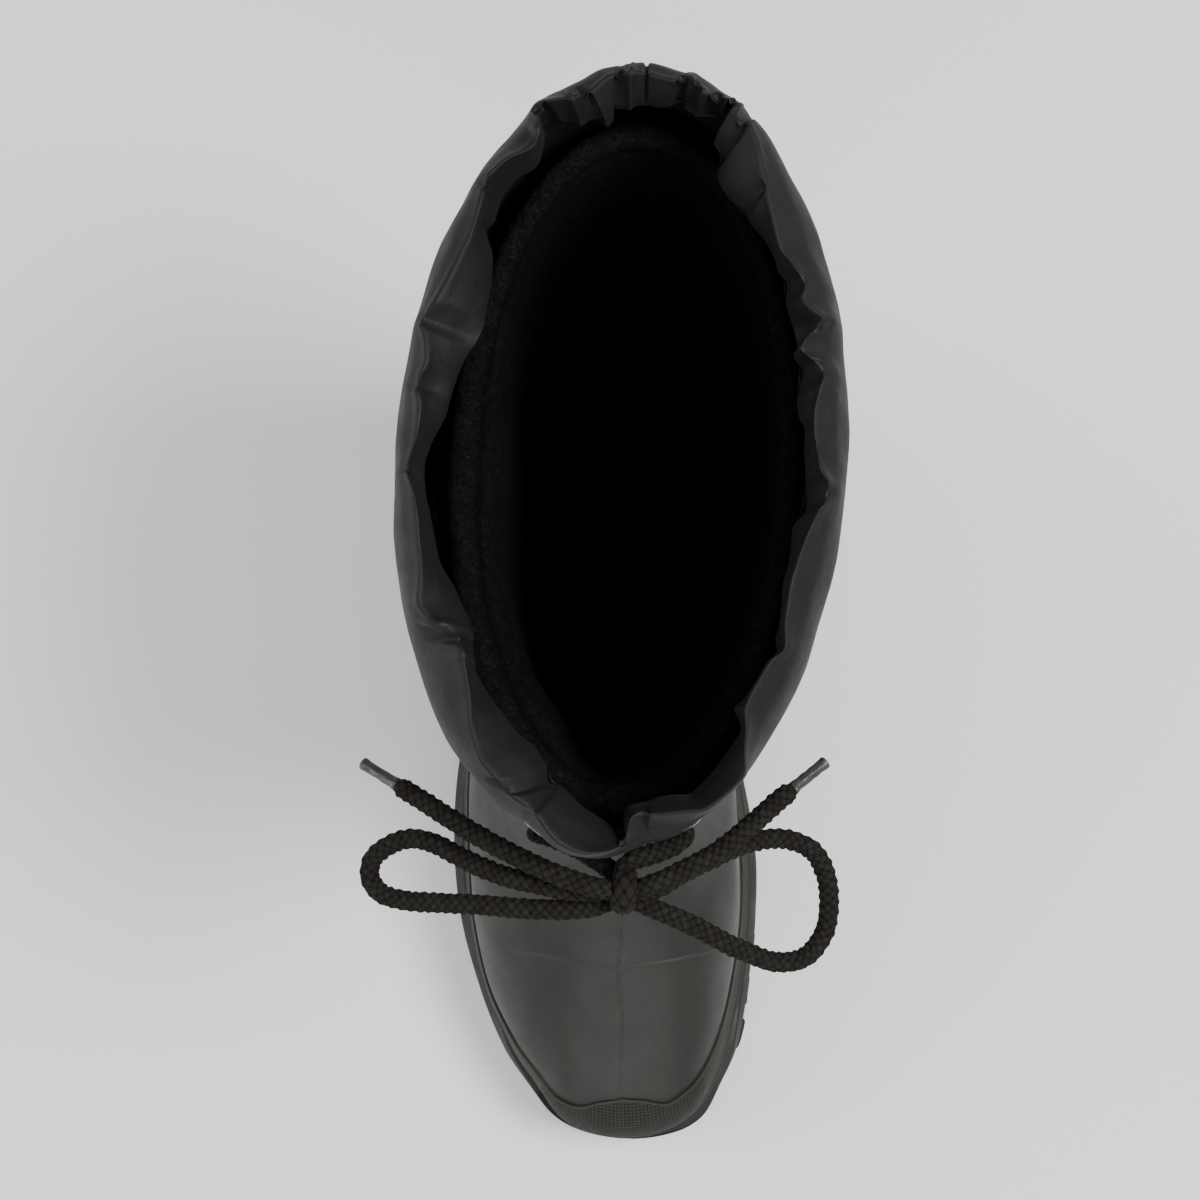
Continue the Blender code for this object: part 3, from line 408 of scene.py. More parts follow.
class BootColours(PropertyGroup):
    """Base colours of the boot's finishes."""

    rubber: colour_property("Rubber", "Olive grey of the moulded upper", (0.0158, 0.0161, 0.0138))
    sole: colour_property("Sole Rubber", "Grey of the sole's wall", (0.0160, 0.0156, 0.0152))
    nylon: colour_property("Nylon", "Black of the gathered cuff", (0.0081, 0.0070, 0.0086))
    felt: colour_property("Felt", "Black of the felt boot", (0.0096, 0.0092, 0.0086))
    cord: colour_property("Cord", "Charcoal of the drawcord", (0.0150, 0.0146, 0.0130))
    metal: colour_property("Metal", "Brass of the eyelets", (0.36, 0.27, 0.20))
    tip: colour_property("Cord Tip", "Smoky clear plastic of the cord's tips", (0.034, 0.034, 0.036))
    floor: colour_property("Floor", "Floor that the boot stands on", (0.94, 0.94, 0.94))


def sizes():
    """The sizes that the panel shows."""
    return bpy.context.scene.boot_sizes


def colours():
    """The colours that the panel shows."""
    return bpy.context.scene.boot_colours


# ---- Shapes of the boot ----

def curve(x, knots, values):
    """Smooth curve through a table's rows: a cubic between rows, whose slope at a row is the weighted mean
    of the slopes on its two sides.  A row may hold one number or a whole array."""
    knots = np.asarray(knots, float)
    values = np.asarray(values, float)
    wide = (Ellipsis, *(None,) * (values.ndim - 1))
    step = np.diff(knots)[wide]
    rise = np.diff(values, axis=0) / step
    slope = np.empty_like(values)
    slope[1:-1] = (rise[:-1] * step[1:] + rise[1:] * step[:-1]) / (step[:-1] + step[1:])
    slope[0], slope[-1] = rise[0], rise[-1]
    x = np.clip(x, knots[0], knots[-1])
    i = np.clip(np.searchsorted(knots, x, side="right") - 1, 0, len(knots) - 2)
    t = ((x - knots[i]) / (knots[i + 1] - knots[i]))[wide]
    return ((2 * t**3 - 3 * t**2 + 1) * values[i] + (t**3 - 2 * t**2 + t) * step[i] * slope[i]
            + (3 * t**2 - 2 * t**3) * values[i + 1] + (t**3 - t**2) * step[i] * slope[i + 1])


def smooth(x):
    """Soft step from 0 to 1."""
    x = np.clip(x, 0.0, 1.0)
    return x * x * (3 - 2 * x)


def come_in(x, span):
    """Soft step from 0 to 1 that starts at the span's first number and takes its second."""
    start, over = span
    return smooth((x - start) / over)


def unit(vectors):
    """Vectors made one long."""
    return vectors / np.linalg.norm(vectors, axis=-1, keepdims=True)


def between_rows(place, rows):
    """Rows of a table, or whole rings, read at row numbers that may lie between two of them."""
    return curve(place, np.arange(len(rows)), rows)


def bell(x, width):
    """Bell curve that is 1 at 0: e to the power of minus the square of x over the width."""
    return np.exp(-(x / width) ** 2)


def signed(degrees):
    """The same angle between -180 and 180 degrees."""
    return (degrees + 180) % 360 - 180


def spokes(turn, side, up):
    """Directions round one axis or a row of axes, at angles from side towards up."""
    return np.cos(turn)[:, None] * side[..., None, :] + np.sin(turn)[:, None] * up[..., None, :]


def folded_table(degrees, table, column):
    """Column of a table by angle as cloth folds: straight between rows, with its corners rounded a little
    by the mean over a short span of angles."""
    around = [np.interp((degrees + shift) % 360, table[:, 0], table[:, column])
              for shift in np.linspace(-1, 1, 9)]
    return np.mean(around, axis=0)


def along_of(angle):
    """Share of a ring's length from its front to its back at this angle."""
    return (1 - np.cos(angle)) / 2


def outline_parts(angle, column):
    """Centre line and fullness of an outline.  The fullness times the sine of the angle is the half width."""
    share = OUTLINE[:, 0] / SOLE_LENGTH + 0.5
    full = OUTLINE[:, column + 1] / np.sin(np.arccos(1 - 2 * share))
    along = along_of(angle)
    return curve(along, share, OUTLINE[:, column]), curve(along, share, full)


def outline(angle):
    """The sole's outline, set so that its two widest points are equally far from X = 0."""
    every = np.linspace(0, TURN, 721)
    centre, full = outline_parts(every, SOLE)
    reach = centre + full * np.sin(every)
    centre, full = outline_parts(angle, SOLE)
    scale = SOLE_WIDTH / (reach.max() - reach.min())
    x = (centre + full * np.sin(angle) - (reach.max() + reach.min()) / 2) * scale
    return x, (along_of(angle) - 0.5) * SOLE_LENGTH


def sole_height(along, column):
    """Height of the sole at a share of its length.  The table's rows are joined straight."""
    return np.interp(along, SOLE_HEIGHTS[:, 0], SOLE_HEIGHTS[:, column])


def top_height(y):
    """Height where the upper meets the sole, a smooth curve along the foot."""
    return curve(y / SOLE_LENGTH + 0.5, SOLE_HEIGHTS[:, 0], SOLE_HEIGHTS[:, 1])


def ring_point(angle, row):
    """Point of a tilted ring.  row holds the ring's columns, each an array like angle or a number."""
    front_y, front_z, back_y, back_z, width, front_x, back_x, foot, follow = row
    along = along_of(angle)
    y = front_y + (back_y - front_y) * along
    centre, full = outline_parts(angle, LAST)
    half = width * (foot * full / OUTLINE[:, LAST + 1].max() + 1 - foot)
    x = half * np.sin(angle) + foot * centre + front_x + (back_x - front_x) * along
    chord = front_z + (back_z - front_z) * along
    sag = top_height(y) - (top_height(front_y) + (top_height(back_y) - top_height(front_y)) * along)
    return np.stack([x, y, chord + follow * sag], axis=-1)


def boot_point(angle, ring):
    """Outside of the rubber at an angle and a ring number, which may lie between two rings."""
    return ring_point(angle, np.moveaxis(between_rows(ring, RINGS), -1, 0))


def boot_normal(angle, ring):
    """Outward normal of the rubber, from two short steps on its surface."""
    low = np.clip(ring - 0.02, 0, TOP_RING - 0.04)
    around = boot_point(angle + 0.01, ring) - boot_point(angle - 0.01, ring)
    return unit(np.cross(around, boot_point(angle, low + 0.04) - boot_point(angle, low)))


def raised(angle, ring, rise):
    """Points that stand off the rubber's face along its normal, or behind it where the rise is below zero."""
    return boot_point(angle, ring) + boot_normal(angle, ring) * np.asarray(rise)[..., None]


def ring_step(angle, ring):
    """Millimetres up the rubber's face for one ring number."""
    return np.linalg.norm(boot_point(angle, ring + 0.02) - boot_point(angle, ring - 0.02), axis=-1) / 0.04


def rand_edge(angle):
    """Ring number of the rand's upper edge."""
    turn = np.degrees(np.arccos(np.cos(angle)))
    edge = curve(turn, RAND_EDGE[:, 0], RAND_EDGE[:, 1:])
    return np.where(np.sin(angle) >= 0, edge[..., 0], edge[..., 1])


def gather_depth(angle):
    """How far the drawstring pulls the hem in at an angle: soft troughs, one for each row of the table."""
    away = signed(np.degrees(angle)[:, None] - GATHERS[:, 0])
    return (GATHERS[:, 2] * bell(away, GATHERS[:, 1])).sum(axis=1)


def cuff_ring(angle, row, drawn=1.0):
    """One ring of the cuff, drawn in by the gathers, or by a share of them."""
    *place, gather = row
    base = ring_point(angle, [*place, 0.0, 0.0])
    middle = np.array([(place[5] + place[6]) / 2, (place[0] + place[2]) / 2])
    base[:, :2] -= unit(base[:, :2] - middle) * (gather_depth(angle) * gather * drawn)[:, None]
    return base


def cuff_face(angle, height):
    """Point and outward normal of the cuff's outer face at a height."""
    rows = []
    for shift in (-0.02, 0.0, 0.02):
        rings = np.array([cuff_ring(np.array([angle + shift]), row)[0] for row in CUFF_OUTER])
        rows.append(np.array([np.interp(height + step, rings[:, 2], rings[:, axis])
                              for step in (-2.0, 2.0) for axis in range(3)]).reshape(2, 3))
    around = rows[2].mean(axis=0) - rows[0].mean(axis=0)
    return rows[1].mean(axis=0), unit(np.cross(around, rows[1][1] - rows[1][0]))


def grid_normals(points):
    """Normal of a grid that closes round, at each point: the cross product of its steps along columns and
    rows."""
    around = np.roll(points, -1, axis=1) - np.roll(points, 1, axis=1)
    return unit(np.cross(around, np.gradient(points, axis=0)) + 1e-12)


def waves(seed, count, size, points):
    """Soft unevenness between about -1 and 1: a sum of sines with seeded directions, about size long."""
    random = np.random.default_rng(seed)
    way = unit(random.normal(size=(count, 3)))
    length = size * random.uniform(0.7, 1.6, count)
    phase = random.uniform(0, TURN, count)
    out = np.zeros(points.shape[:-1])
    for k in range(count):
        out += np.sin(points @ way[k] * TURN / length[k] + phase[k])
    return out / np.sqrt(count)


# ---- Making pieces ----

def add_piece(name, points, finish, along=False, ids=None, uv=None, marks=None, sharp=50.0):
    """Piece from a grid of points in millimetres.  Columns close round, and so do rows on request.  ids gives
    the vertex of each grid place, so a pole or a run-out row is one vertex, and faces that collapse are
    dropped.  marks are numbers at the vertices that the finish reads."""
    rows, columns = points.shape[:2]
    ids = grid_ids(rows, columns) if ids is None else ids
    r, c = np.indices((rows - (not along), columns))
    r = np.stack([r, r, r + 1, r + 1], axis=-1).reshape(-1, 4)
    c = np.stack([c, c + 1, c + 1, c], axis=-1).reshape(-1, 4)
    faces = ids[r % rows, c % columns]
    vertices = points.reshape(-1, 3)
    corner = vertices[faces]
    a, b, d, e = (corner[:, k] for k in range(4))
    volume = np.einsum("ij,ij->", a, np.cross(b, d)) + np.einsum("ij,ij->", a, np.cross(d, e))
    if volume < 0:
        faces, r, c = faces[:, ::-1], r[:, ::-1], c[:, ::-1]
    twice = faces == np.roll(faces, -1, axis=1)
    sides = 4 - twice.sum(axis=1)
    whole, three = sides == 4, sides == 3
    loops = np.concatenate([faces[whole].ravel(), faces[three][~twice[three]]])
    starts = np.cumsum(np.concatenate([[0], np.repeat([4, 3], [whole.sum(), three.sum()])]))[:-1]
    used, loops = np.unique(loops, return_inverse=True)
    mesh = bpy.data.meshes.new(name)
    mesh.vertices.add(len(used))
    mesh.vertices.foreach_set("co", (vertices[used] * MM).ravel())
    mesh.loops.add(len(loops))
    mesh.loops.foreach_set("vertex_index", loops.astype(np.int32))
    mesh.polygons.add(len(starts))
    mesh.polygons.foreach_set("loop_start", starts.astype(np.int32))
    mesh.update(calc_edges=True)
    if uv is not None:
        places = uv[r, c]
        flat = np.concatenate([places[whole].reshape(-1, 2), places[three][~twice[three]]])
        mesh.uv_layers.new(name="UVMap").uv.foreach_set("vector", flat.astype(np.float32).ravel())
    for mark, values in (marks or {}).items():
        values = np.broadcast_to(values, (rows, columns)).ravel()[used]
        mesh.attributes.new(mark, "FLOAT", "POINT").data.foreach_set("value", values.astype(np.float32))
    mesh.shade_smooth()
    mesh.set_sharp_from_angle(angle=np.radians(sharp))
    return place_piece(name, mesh, finish)


def place_piece(name, mesh, finish):
    """Object at the origin for a finished mesh, riding on the boot."""
    thing = bpy.data.objects.new(name, mesh)
    bpy.context.scene.collection.objects.link(thing)
    mesh.materials.append(finish)
    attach(thing, "root")
    return thing


def grid_ids(rows, columns, first_pole=False, last_pole=False):
    """Vertex numbers of a grid whose first or last row may be a single point."""
    ids = np.arange(rows * columns).reshape(rows, columns)
    if first_pole:
        ids[0] = ids[0, 0]
    if last_pole:
        ids[-1] = ids[-1, 0]
    return ids


def flat_uv(across, down):
    """UV grid from the place of each column line and each row line, in millimetres."""
    return np.stack(np.meshgrid(across, down), axis=-1)


def close_over(ring, steps, height=None):
    """Rows that draw a ring about the foot's axis in to its own centre line, where its two sides meet.
    A point's height may be given by a function of its place, or it stays."""
    mirror = np.roll(ring[::-1], 1, axis=0)
    middle = (ring + mirror) / 2
    share = np.linspace(0, 1, steps + 1)[1:, None, None]
    rows = ring + (middle - ring) * share
    return rows if height is None else np.concatenate([rows[..., :2], height(rows)[..., None]], axis=-1)


def folded_ids(rows, columns):
    """Vertex numbers of a grid whose first and last rows were drawn in to the centre line: the two sides of
    each of these rows are joined."""
    ids = grid_ids(rows, columns)
    mirror = -np.arange(columns) % columns
    for row in (0, -1):
        ids[row] = np.minimum(ids[row], ids[row][mirror])
    return ids


def arc_angles(spacing):
    """Angles around the sole whose spacing in millimetres follows a function of the angle in degrees
    from the toe, four or a multiple of four of them, starting at the toe."""
    angle = np.linspace(0, TURN, 7201)
    place = boot_point(angle, np.ones_like(angle))[:, :2]
    step = np.linalg.norm(np.diff(place, axis=0), axis=1)
    middle = (angle[:-1] + angle[1:]) / 2
    count = np.concatenate([[0], np.cumsum(step / spacing(np.degrees(np.arccos(np.cos(middle)))))])
    total = int(round(count[-1] / 4)) * 4
    return np.interp(np.arange(total), count * total / count[-1], angle)


# ---- Finishes ----

class Finish:
    """Material of one of the panel's colours, with short calls for its nodes.  A socket given as a value is
    linked, a number is set."""

    def __init__(self, name, colour):
        self.base = tuple(getattr(colours(), colour))
        self.material = bpy.data.materials.new(name)
        self.material.use_nodes = True
        self.tree = self.material.node_tree
        self.shader = self.tree.nodes["Principled BSDF"]

    def node(self, kind, inputs=None, **settings):
        """New node with its settings and inputs."""
        made = self.tree.nodes.new("ShaderNode" + kind)
        for key, value in settings.items():
            setattr(made, key, value)
        for key, value in (inputs or {}).items():
            self.put(made.inputs[key], value)
        return made

    def put(self, socket, value):
        """Link or set one input."""
        if isinstance(value, bpy.types.NodeSocket):
            self.tree.links.new(value, socket)
        else:
            socket.default_value = value

    def surface(self, **inputs):
        """Material with these inputs of its shader, named with underscores for spaces."""
        for key, value in inputs.items():
            self.put(self.shader.inputs[key.replace("_", " ")], value)
        return self.material

    def tone(self, factor, tint=(1.0, 1.0, 1.0)):
        """Base colour made lighter or darker, and tinted."""
        return tuple(min(1.0, part * factor * side) for part, side in zip(self.base, tint))

    def place(self, scale=(1.0, 1.0, 1.0), source="Object"):
        """Object coordinates or the UV map, stretched by a scale."""
        coordinates = self.node("TexCoord").outputs[source]
        return self.node("Mapping", {"Vector": coordinates, "Scale": scale}).outputs["Vector"]

    def mark(self, name):
        """Number that the mesh holds at its vertices."""
        return self.node("Attribute", attribute_name=name).outputs["Fac"]

    def noise(self, vector, scale, detail=3.0, roughness=0.55, distortion=0.0):
        """Noise between 0 and 1."""
        return self.node("TexNoise", {"Vector": vector, "Scale": scale, "Detail": detail,
                                      "Roughness": roughness, "Distortion": distortion}).outputs["Fac"]

    def ramp(self, value, low, high, start=0.0, end=1.0):
        """Value between two numbers mapped to a range."""
        return self.node("MapRange", {"Value": value, "From Min": low, "From Max": high, "To Min": start,
                                      "To Max": end}).outputs["Result"]

    def sum(self, a, b, operation="ADD"):
        """Two numbers put together."""
        return self.node("Math", {0: a, 1: b}, operation=operation).outputs["Value"]

    def times(self, a, b):
        """Product of two numbers."""
        return self.sum(a, b, "MULTIPLY")

    def wave(self, value, length):
        """Sine of a value, whose period is a length."""
        return self.node("Math", {0: self.times(value, TURN / length)}, operation="SINE").outputs["Value"]

    def mix(self, share, a, b):
        """Colour between two colours."""
        made = self.node("Mix", data_type="RGBA", blend_type="MIX")
        self.put(made.inputs["Factor"], share)
        for socket, value in zip([s for s in made.inputs if s.type == "RGBA"], (a, b)):
            self.put(socket, value if isinstance(value, bpy.types.NodeSocket) else (*value, 1.0))
        return [s for s in made.outputs if s.type == "RGBA"][0]

    def cover(self, colour, share, strength, over):
        """Colour with another laid over it, where a share of it says and as strongly as that."""
        return self.mix(self.times(share, strength), colour, over)

    def bump(self, height, distance, normal=None, strength=1.0):
        """Bump of a height in metres."""
        inputs = {"Height": height, "Distance": distance, "Strength": strength}
        if normal is not None:
            inputs["Normal"] = normal
        return self.node("Bump", inputs).outputs["Normal"]


def rubber_finish():
    """Matte moulded rubber: cloudy grey with a faint bloom and a fine moulded grain, a painted highlight
    along the mould seam and the welt, and painted shade in the groove at the rand's edge.
    """
    f = Finish("olive_moulded_rubber", "rubber")
    place = f.place()
    cloud = f.ramp(f.noise(place, 26.0, 4.0, 0.6), 0.32, 0.68)
    colour = f.mix(cloud, f.tone(0.84, (1.0, 0.99, 1.0)), f.tone(1.16, (1.0, 1.01, 0.98)))
    speck = f.ramp(f.noise(place, 900.0, 2.0, 0.6), 0.62, 0.72)
    colour = f.cover(colour, speck, 0.25, f.tone(1.9))
    # Painted highlight along the mould seam and the welt.
    colour = f.cover(colour, f.mark("rubbed"), 0.5, f.tone(2.7, (1.0, 1.0, 0.97)))
    # Painted shade in the groove above the rand's edge.
    colour = f.cover(colour, f.mark("hollow"), 0.6, f.tone(0.35))
    rough = f.ramp(f.noise(place, 60.0, 5.0, 0.65), 0.3, 0.7, 0.50, 0.64)
    grain = f.bump(f.noise(place, 1500.0, 2.0, 0.5), 0.00005, strength=0.6)
    dimple = f.bump(f.noise(place, 170.0, 3.0, 0.5), 0.00012, normal=grain, strength=0.5)
    return f.surface(Base_Color=colour, Roughness=rough, Specular_IOR_Level=0.42, Normal=dimple)


def rand_finish():
    """The same rubber with pimples: a painted highlight on their tops, the bead and the side band, and
    painted shade between them.
    """
    f = Finish("pimpled_rand_rubber", "rubber")
    place = f.place()
    cloud = f.ramp(f.noise(place, 40.0, 4.0, 0.6), 0.3, 0.7)
    colour = f.mix(cloud, f.tone(0.92), f.tone(1.18))
    # Painted highlight on the pimples' tops, the bead, the brow and the side band, carried by the pimple
    # mark.
    colour = f.cover(colour, f.mark("pimple"), 0.85, f.tone(4.2, (1.0, 1.0, 0.97)))
    # Painted shade between the pimples and along the rand's upper edge.
    colour = f.cover(colour, f.mark("hollow"), 0.8, f.tone(0.25))
    rough = f.ramp(f.noise(place, 300.0, 3.0, 0.6), 0.3, 0.7, 0.55, 0.7)
    return f.surface(Base_Color=colour, Roughness=rough, Specular_IOR_Level=0.22,
                     Normal=f.bump(f.noise(place, 1800.0, 2.0, 0.5), 0.00005, strength=0.6))


def sole_finish():
    """Tread rubber: grey on the wall and darker on the lugs and in the tread below it as painted shade, with
    pale dust flecks all over.
    """
    f = Finish("grey_tread_rubber", "sole")
    place = f.place()
    height = f.node("SeparateXYZ", {"Vector": place}).outputs["Z"]
    cloud = f.ramp(f.noise(place, 34.0, 4.0, 0.6), 0.32, 0.68)
    wall = f.mix(cloud, f.tone(0.85, (1.0, 0.98, 1.05)), f.tone(1.2, (1.0, 0.99, 1.04)))
    under = f.mix(cloud, f.tone(0.22), f.tone(0.36))
    # Painted shade: everything below the wall, the lugs and the tread, is darker.
    colour = f.mix(f.ramp(height, 0.010, 0.017), under, wall)
    dust = f.ramp(f.noise(place, 420.0, 3.0, 0.7), 0.55, 0.75)
    colour = f.cover(colour, dust, 0.3, f.tone(1.7))
    rough = f.ramp(f.noise(place, 80.0, 4.0, 0.6), 0.3, 0.7, 0.52, 0.72)
    grain = f.bump(f.noise(place, 1300.0, 2.0, 0.5), 0.00006, strength=0.6)
    return f.surface(Base_Color=colour, Roughness=rough, Specular_IOR_Level=0.4, Normal=grain)


def nylon_finish():
    """Black nylon with a purple cast: fine ribs that run round the cuff, a faint cross weave and a soft
    sheen, and a painted highlight along the edges of folds and the ridges of pleats."""
    f = Finish("black_ribbed_nylon", "nylon")
    place = f.place()
    cloth = f.node("SeparateXYZ", {"Vector": f.place(source="UV")})
    rib = f.wave(cloth.outputs["Y"], 0.55)
    weave = f.sum(rib, f.times(f.wave(cloth.outputs["X"], 0.34), 0.35))
    cloud = f.ramp(f.noise(place, 30.0, 4.0, 0.6), 0.3, 0.7)
    colour = f.mix(cloud, f.tone(0.85), f.tone(1.2, (1.03, 1.0, 1.02)))
    colour = f.mix(f.ramp(rib, -1.0, 1.0, 0.0, 0.22), colour, f.tone(1.8))
    # Painted highlight along the edges of folds and the ridges of pleats.
    colour = f.cover(colour, f.mark("crease"), 0.35, f.tone(2.4))
    wrinkle = f.bump(f.noise(place, 190.0, 4.0, 0.6, 0.4), 0.0006, strength=0.5)
    ribs = f.bump(weave, 0.00004, normal=wrinkle, strength=0.3)
    rough = f.ramp(f.noise(place, 120.0, 3.0, 0.6), 0.3, 0.7, 0.50, 0.64)
    return f.surface(Base_Color=colour, Roughness=rough, Specular_IOR_Level=0.18, Sheen_Weight=0.015,
                     Sheen_Roughness=0.4, Normal=ribs)


def felt_finish():
    """Needled black felt: matted fibres, brown and grey flecks and a pressed seam darkened with painted
    shade.
    """
    f = Finish("black_needle_felt", "felt")
    place = f.place()
    matted = f.noise(place, 520.0, 7.0, 0.82, 2.2)
    patch = f.ramp(f.noise(place, 75.0, 3.0, 0.6), 0.3, 0.7)
    fleck = f.ramp(f.noise(place, 800.0, 5.0, 0.75, 1.4), 0.52, 0.68)
    colour = f.mix(f.ramp(matted, 0.36, 0.64), f.tone(0.28), f.tone(1.6, (1.03, 1.0, 0.97)))
    colour = f.cover(colour, patch, 0.35, f.tone(0.5, (0.92, 1.0, 1.0)))
    colour = f.cover(colour, fleck, 0.6, f.tone(3.6, (1.02, 1.0, 0.97)))
    # Painted shade in the pressed seam.
    colour = f.cover(colour, f.mark("hollow"), 0.6, f.tone(0.25))
    nap = f.bump(matted, 0.0010, strength=1.0)
    return f.surface(Base_Color=colour, Roughness=0.97, Specular_IOR_Level=0.02,
                     Normal=f.bump(f.noise(place, 1300.0, 3.0, 0.75), 0.0004, normal=nap, strength=0.9))


def cord_finish():
    """Braided cord: greenish charcoal lumps of fine filaments with a brown cast below, a painted highlight on
    their tops and painted shade between them.
    """
    f = Finish("braided_charcoal_cord", "cord")
    place = f.place()
    tone = f.mark("tone")
    colour = f.mix(tone, f.tone(0.75, (1.22, 0.95, 1.02)), f.tone(1.25, (0.98, 1.03, 0.94)))
    lump = f.mark("lump")
    strand = f.wave(f.mark("strand"), 0.2)
    # Painted highlight on the tops of the lumps.
    lump_highlight = f.times(f.ramp(lump, 0.80, 1.0), f.ramp(f.noise(place, 1100.0, 3.0, 0.7), 0.42, 0.62))
    colour = f.mix(f.ramp(strand, -1.0, 1.0, 0.0, 0.2), colour, f.tone(1.9, (1.0, 1.0, 0.95)))
    colour = f.cover(colour, lump_highlight, 0.35, f.tone(2.6, (1.0, 1.0, 0.93)))
    # Painted shade at the strands' edges and between the lumps, where pit is low, made uneven by a noise.
    painted_gap_shade = f.sum(f.mark("pit"), f.times(f.noise(place, 700.0, 3.0, 0.7), 0.5))
    colour = f.mix(f.ramp(painted_gap_shade, 1.14, 0.66), colour, f.tone(0.15))
    fuzz = f.noise(place, 1600.0, 3.0, 0.7)
    normal = f.bump(strand, 0.00008, strength=0.6)
    return f.surface(Base_Color=colour, Roughness=f.ramp(fuzz, 0.3, 0.7, 0.70, 0.92),
                     Specular_IOR_Level=0.06, Normal=f.bump(fuzz, 0.0003, normal=normal, strength=0.8))


def brass_finish():
    """Rolled brass, lightly brushed, duller in patches."""
    f = Finish("rolled_brass", "metal")
    place = f.place()
    dull = f.ramp(f.noise(place, 500.0, 3.0, 0.6), 0.4, 0.7)
    brushed = f.noise(f.place((1.0, 1.0, 14.0)), 900.0, 2.0, 0.5)
    return f.surface(Base_Color=f.mix(dull, f.base, f.tone(0.7)), Metallic=1.0,
                     Roughness=f.ramp(dull, 0.0, 1.0, 0.2, 0.4),
                     Normal=f.bump(brushed, 0.00004, strength=0.4))


def tip_finish():
    """Smoky clear sleeve pressed over the cord's end, cloudy and streaked along its length."""
    f = Finish("smoky_clear_sleeve", "tip")
    streak = f.noise(f.place((3.0, 0.35, 1.0), "UV"), 1.2, 4.0, 0.7, 0.6)
    colour = f.mix(f.ramp(streak, 0.36, 0.66), f.tone(0.70), f.tone(1.5, (1.0, 0.99, 0.96)))
    return f.surface(Base_Color=colour, Roughness=f.ramp(streak, 0.3, 0.7, 0.34, 0.52), IOR=1.46,
                     Coat_Weight=0.25, Coat_Roughness=0.22, Normal=f.bump(streak, 0.0001, strength=0.5))


def floor_finish():
    """Smooth near white studio floor with a faint unevenness."""
    f = Finish("pale_studio_floor", "floor")
    cloud = f.noise(f.place(), 3.0, 3.0, 0.5)
    return f.surface(Base_Color=f.mix(cloud, f.tone(0.985), f.base),
                     Roughness=f.ramp(cloud, 0.3, 0.7, 0.75, 0.9), Specular_IOR_Level=0.2)


# ---- Pieces ----

class BOOT_OT_studio(Operator):
    """Camera above the toe end of the collar, floor and soft lights"""

    bl_idname = "boot.studio"
    bl_label = "Studio"
    bl_options = {"REGISTER", "UNDO"}

    def execute(self, context):
        """Camera 0.75 m up, tilted forward by 5.82 degrees, then the floor and six soft lights."""
        scene = context.scene
        data = bpy.data.cameras.new("camera")
        data.sensor_width, data.lens, data.clip_start = CAMERA_SENSOR, CAMERA_LENS, CAMERA_NEAR
        scene.camera = self.add("camera", data, CAMERA_PLACE)
        scene.camera.rotation_euler = (np.radians(CAMERA_TILT), 0.0, 0.0)
        mesh = bpy.data.meshes.new("floor")
        corners = ((-1, -1), (1, -1), (1, 1), (-1, 1))
        mesh.from_pydata([(x * FLOOR_HALF, y * FLOOR_HALF, 0) for x, y in corners], [], [(0, 1, 2, 3)])
        mesh.materials.append(floor_finish())
        self.add("floor", mesh)
        for name, (place, size, size_y, watts) in LIGHTS.items():
            data = bpy.data.lights.new(name, "AREA")
            data.shape = "RECTANGLE"
            data.size, data.size_y, data.energy = size, size_y, watts
            light = self.add(name, data, place)
            light.rotation_euler = (LIGHT_TARGET - light.location).to_track_quat("-Z", "Y").to_euler()
        scene.world = bpy.data.worlds.new("studio")
        scene.world.use_nodes = True
        glow = scene.world.node_tree.nodes["Background"].inputs
        glow["Color"].default_value = WORLD_COLOUR
        glow["Strength"].default_value = WORLD_STRENGTH
        return {"FINISHED"}

    @staticmethod
    def add(name, data, place=(0.0, 0.0, 0.0)):
        """Object in the scene for a camera, a light or the floor."""
        thing = bpy.data.objects.new(name, data)
        thing.location = place
        bpy.context.scene.collection.objects.link(thing)
        return thing


def run_so_far(points):
    """Length run along a route at each of its points."""
    return np.concatenate([[0], np.cumsum(np.linalg.norm(np.diff(points, axis=0), axis=1))])


def even_route(points, spacing):
    """Points at an even spacing on a smooth curve through a route, with the length run so far."""
    run = run_so_far(points)
    dense = curve(np.linspace(0, run[-1], 4000), run, points)
    far = run_so_far(dense)
    steps = np.linspace(0, far[-1], int(round(far[-1] / spacing)) + 1)
    return np.stack([np.interp(steps, far, dense[:, axis]) for axis in range(3)], axis=-1), steps


def braid_height(turn, run, unit_length, around):
    """Height, tone seed and place across the strand of a braid, by share of a turn and length.  Two sets of
    strands cross in a lattice, and each diamond of it shows one strand: a long dome, rounded across."""
    a = around * turn + run / unit_length
    b = around * turn - run / unit_length
    s, t = a - np.floor(a) - 0.5, b - np.floor(b) - 0.5
    swap = (np.floor(a) + np.floor(b)) % 2 == 1
    across, way = np.where(swap, s, t), np.where(swap, t, s)
    height = np.cos(np.pi * across) ** 0.75 * np.cos(np.pi * way) ** 0.4
    seed = ((np.floor(a) - np.floor(b)) % 251) * 17 + (np.floor(a) + np.floor(b)) % (2 * around)
    return height, seed.astype(int), across


def repeat_ends(values):
    """Rows with the first and the last there five times."""
    return np.concatenate([np.repeat(values[:1], 4, axis=0), values, np.repeat(values[-1:], 4, axis=0)])


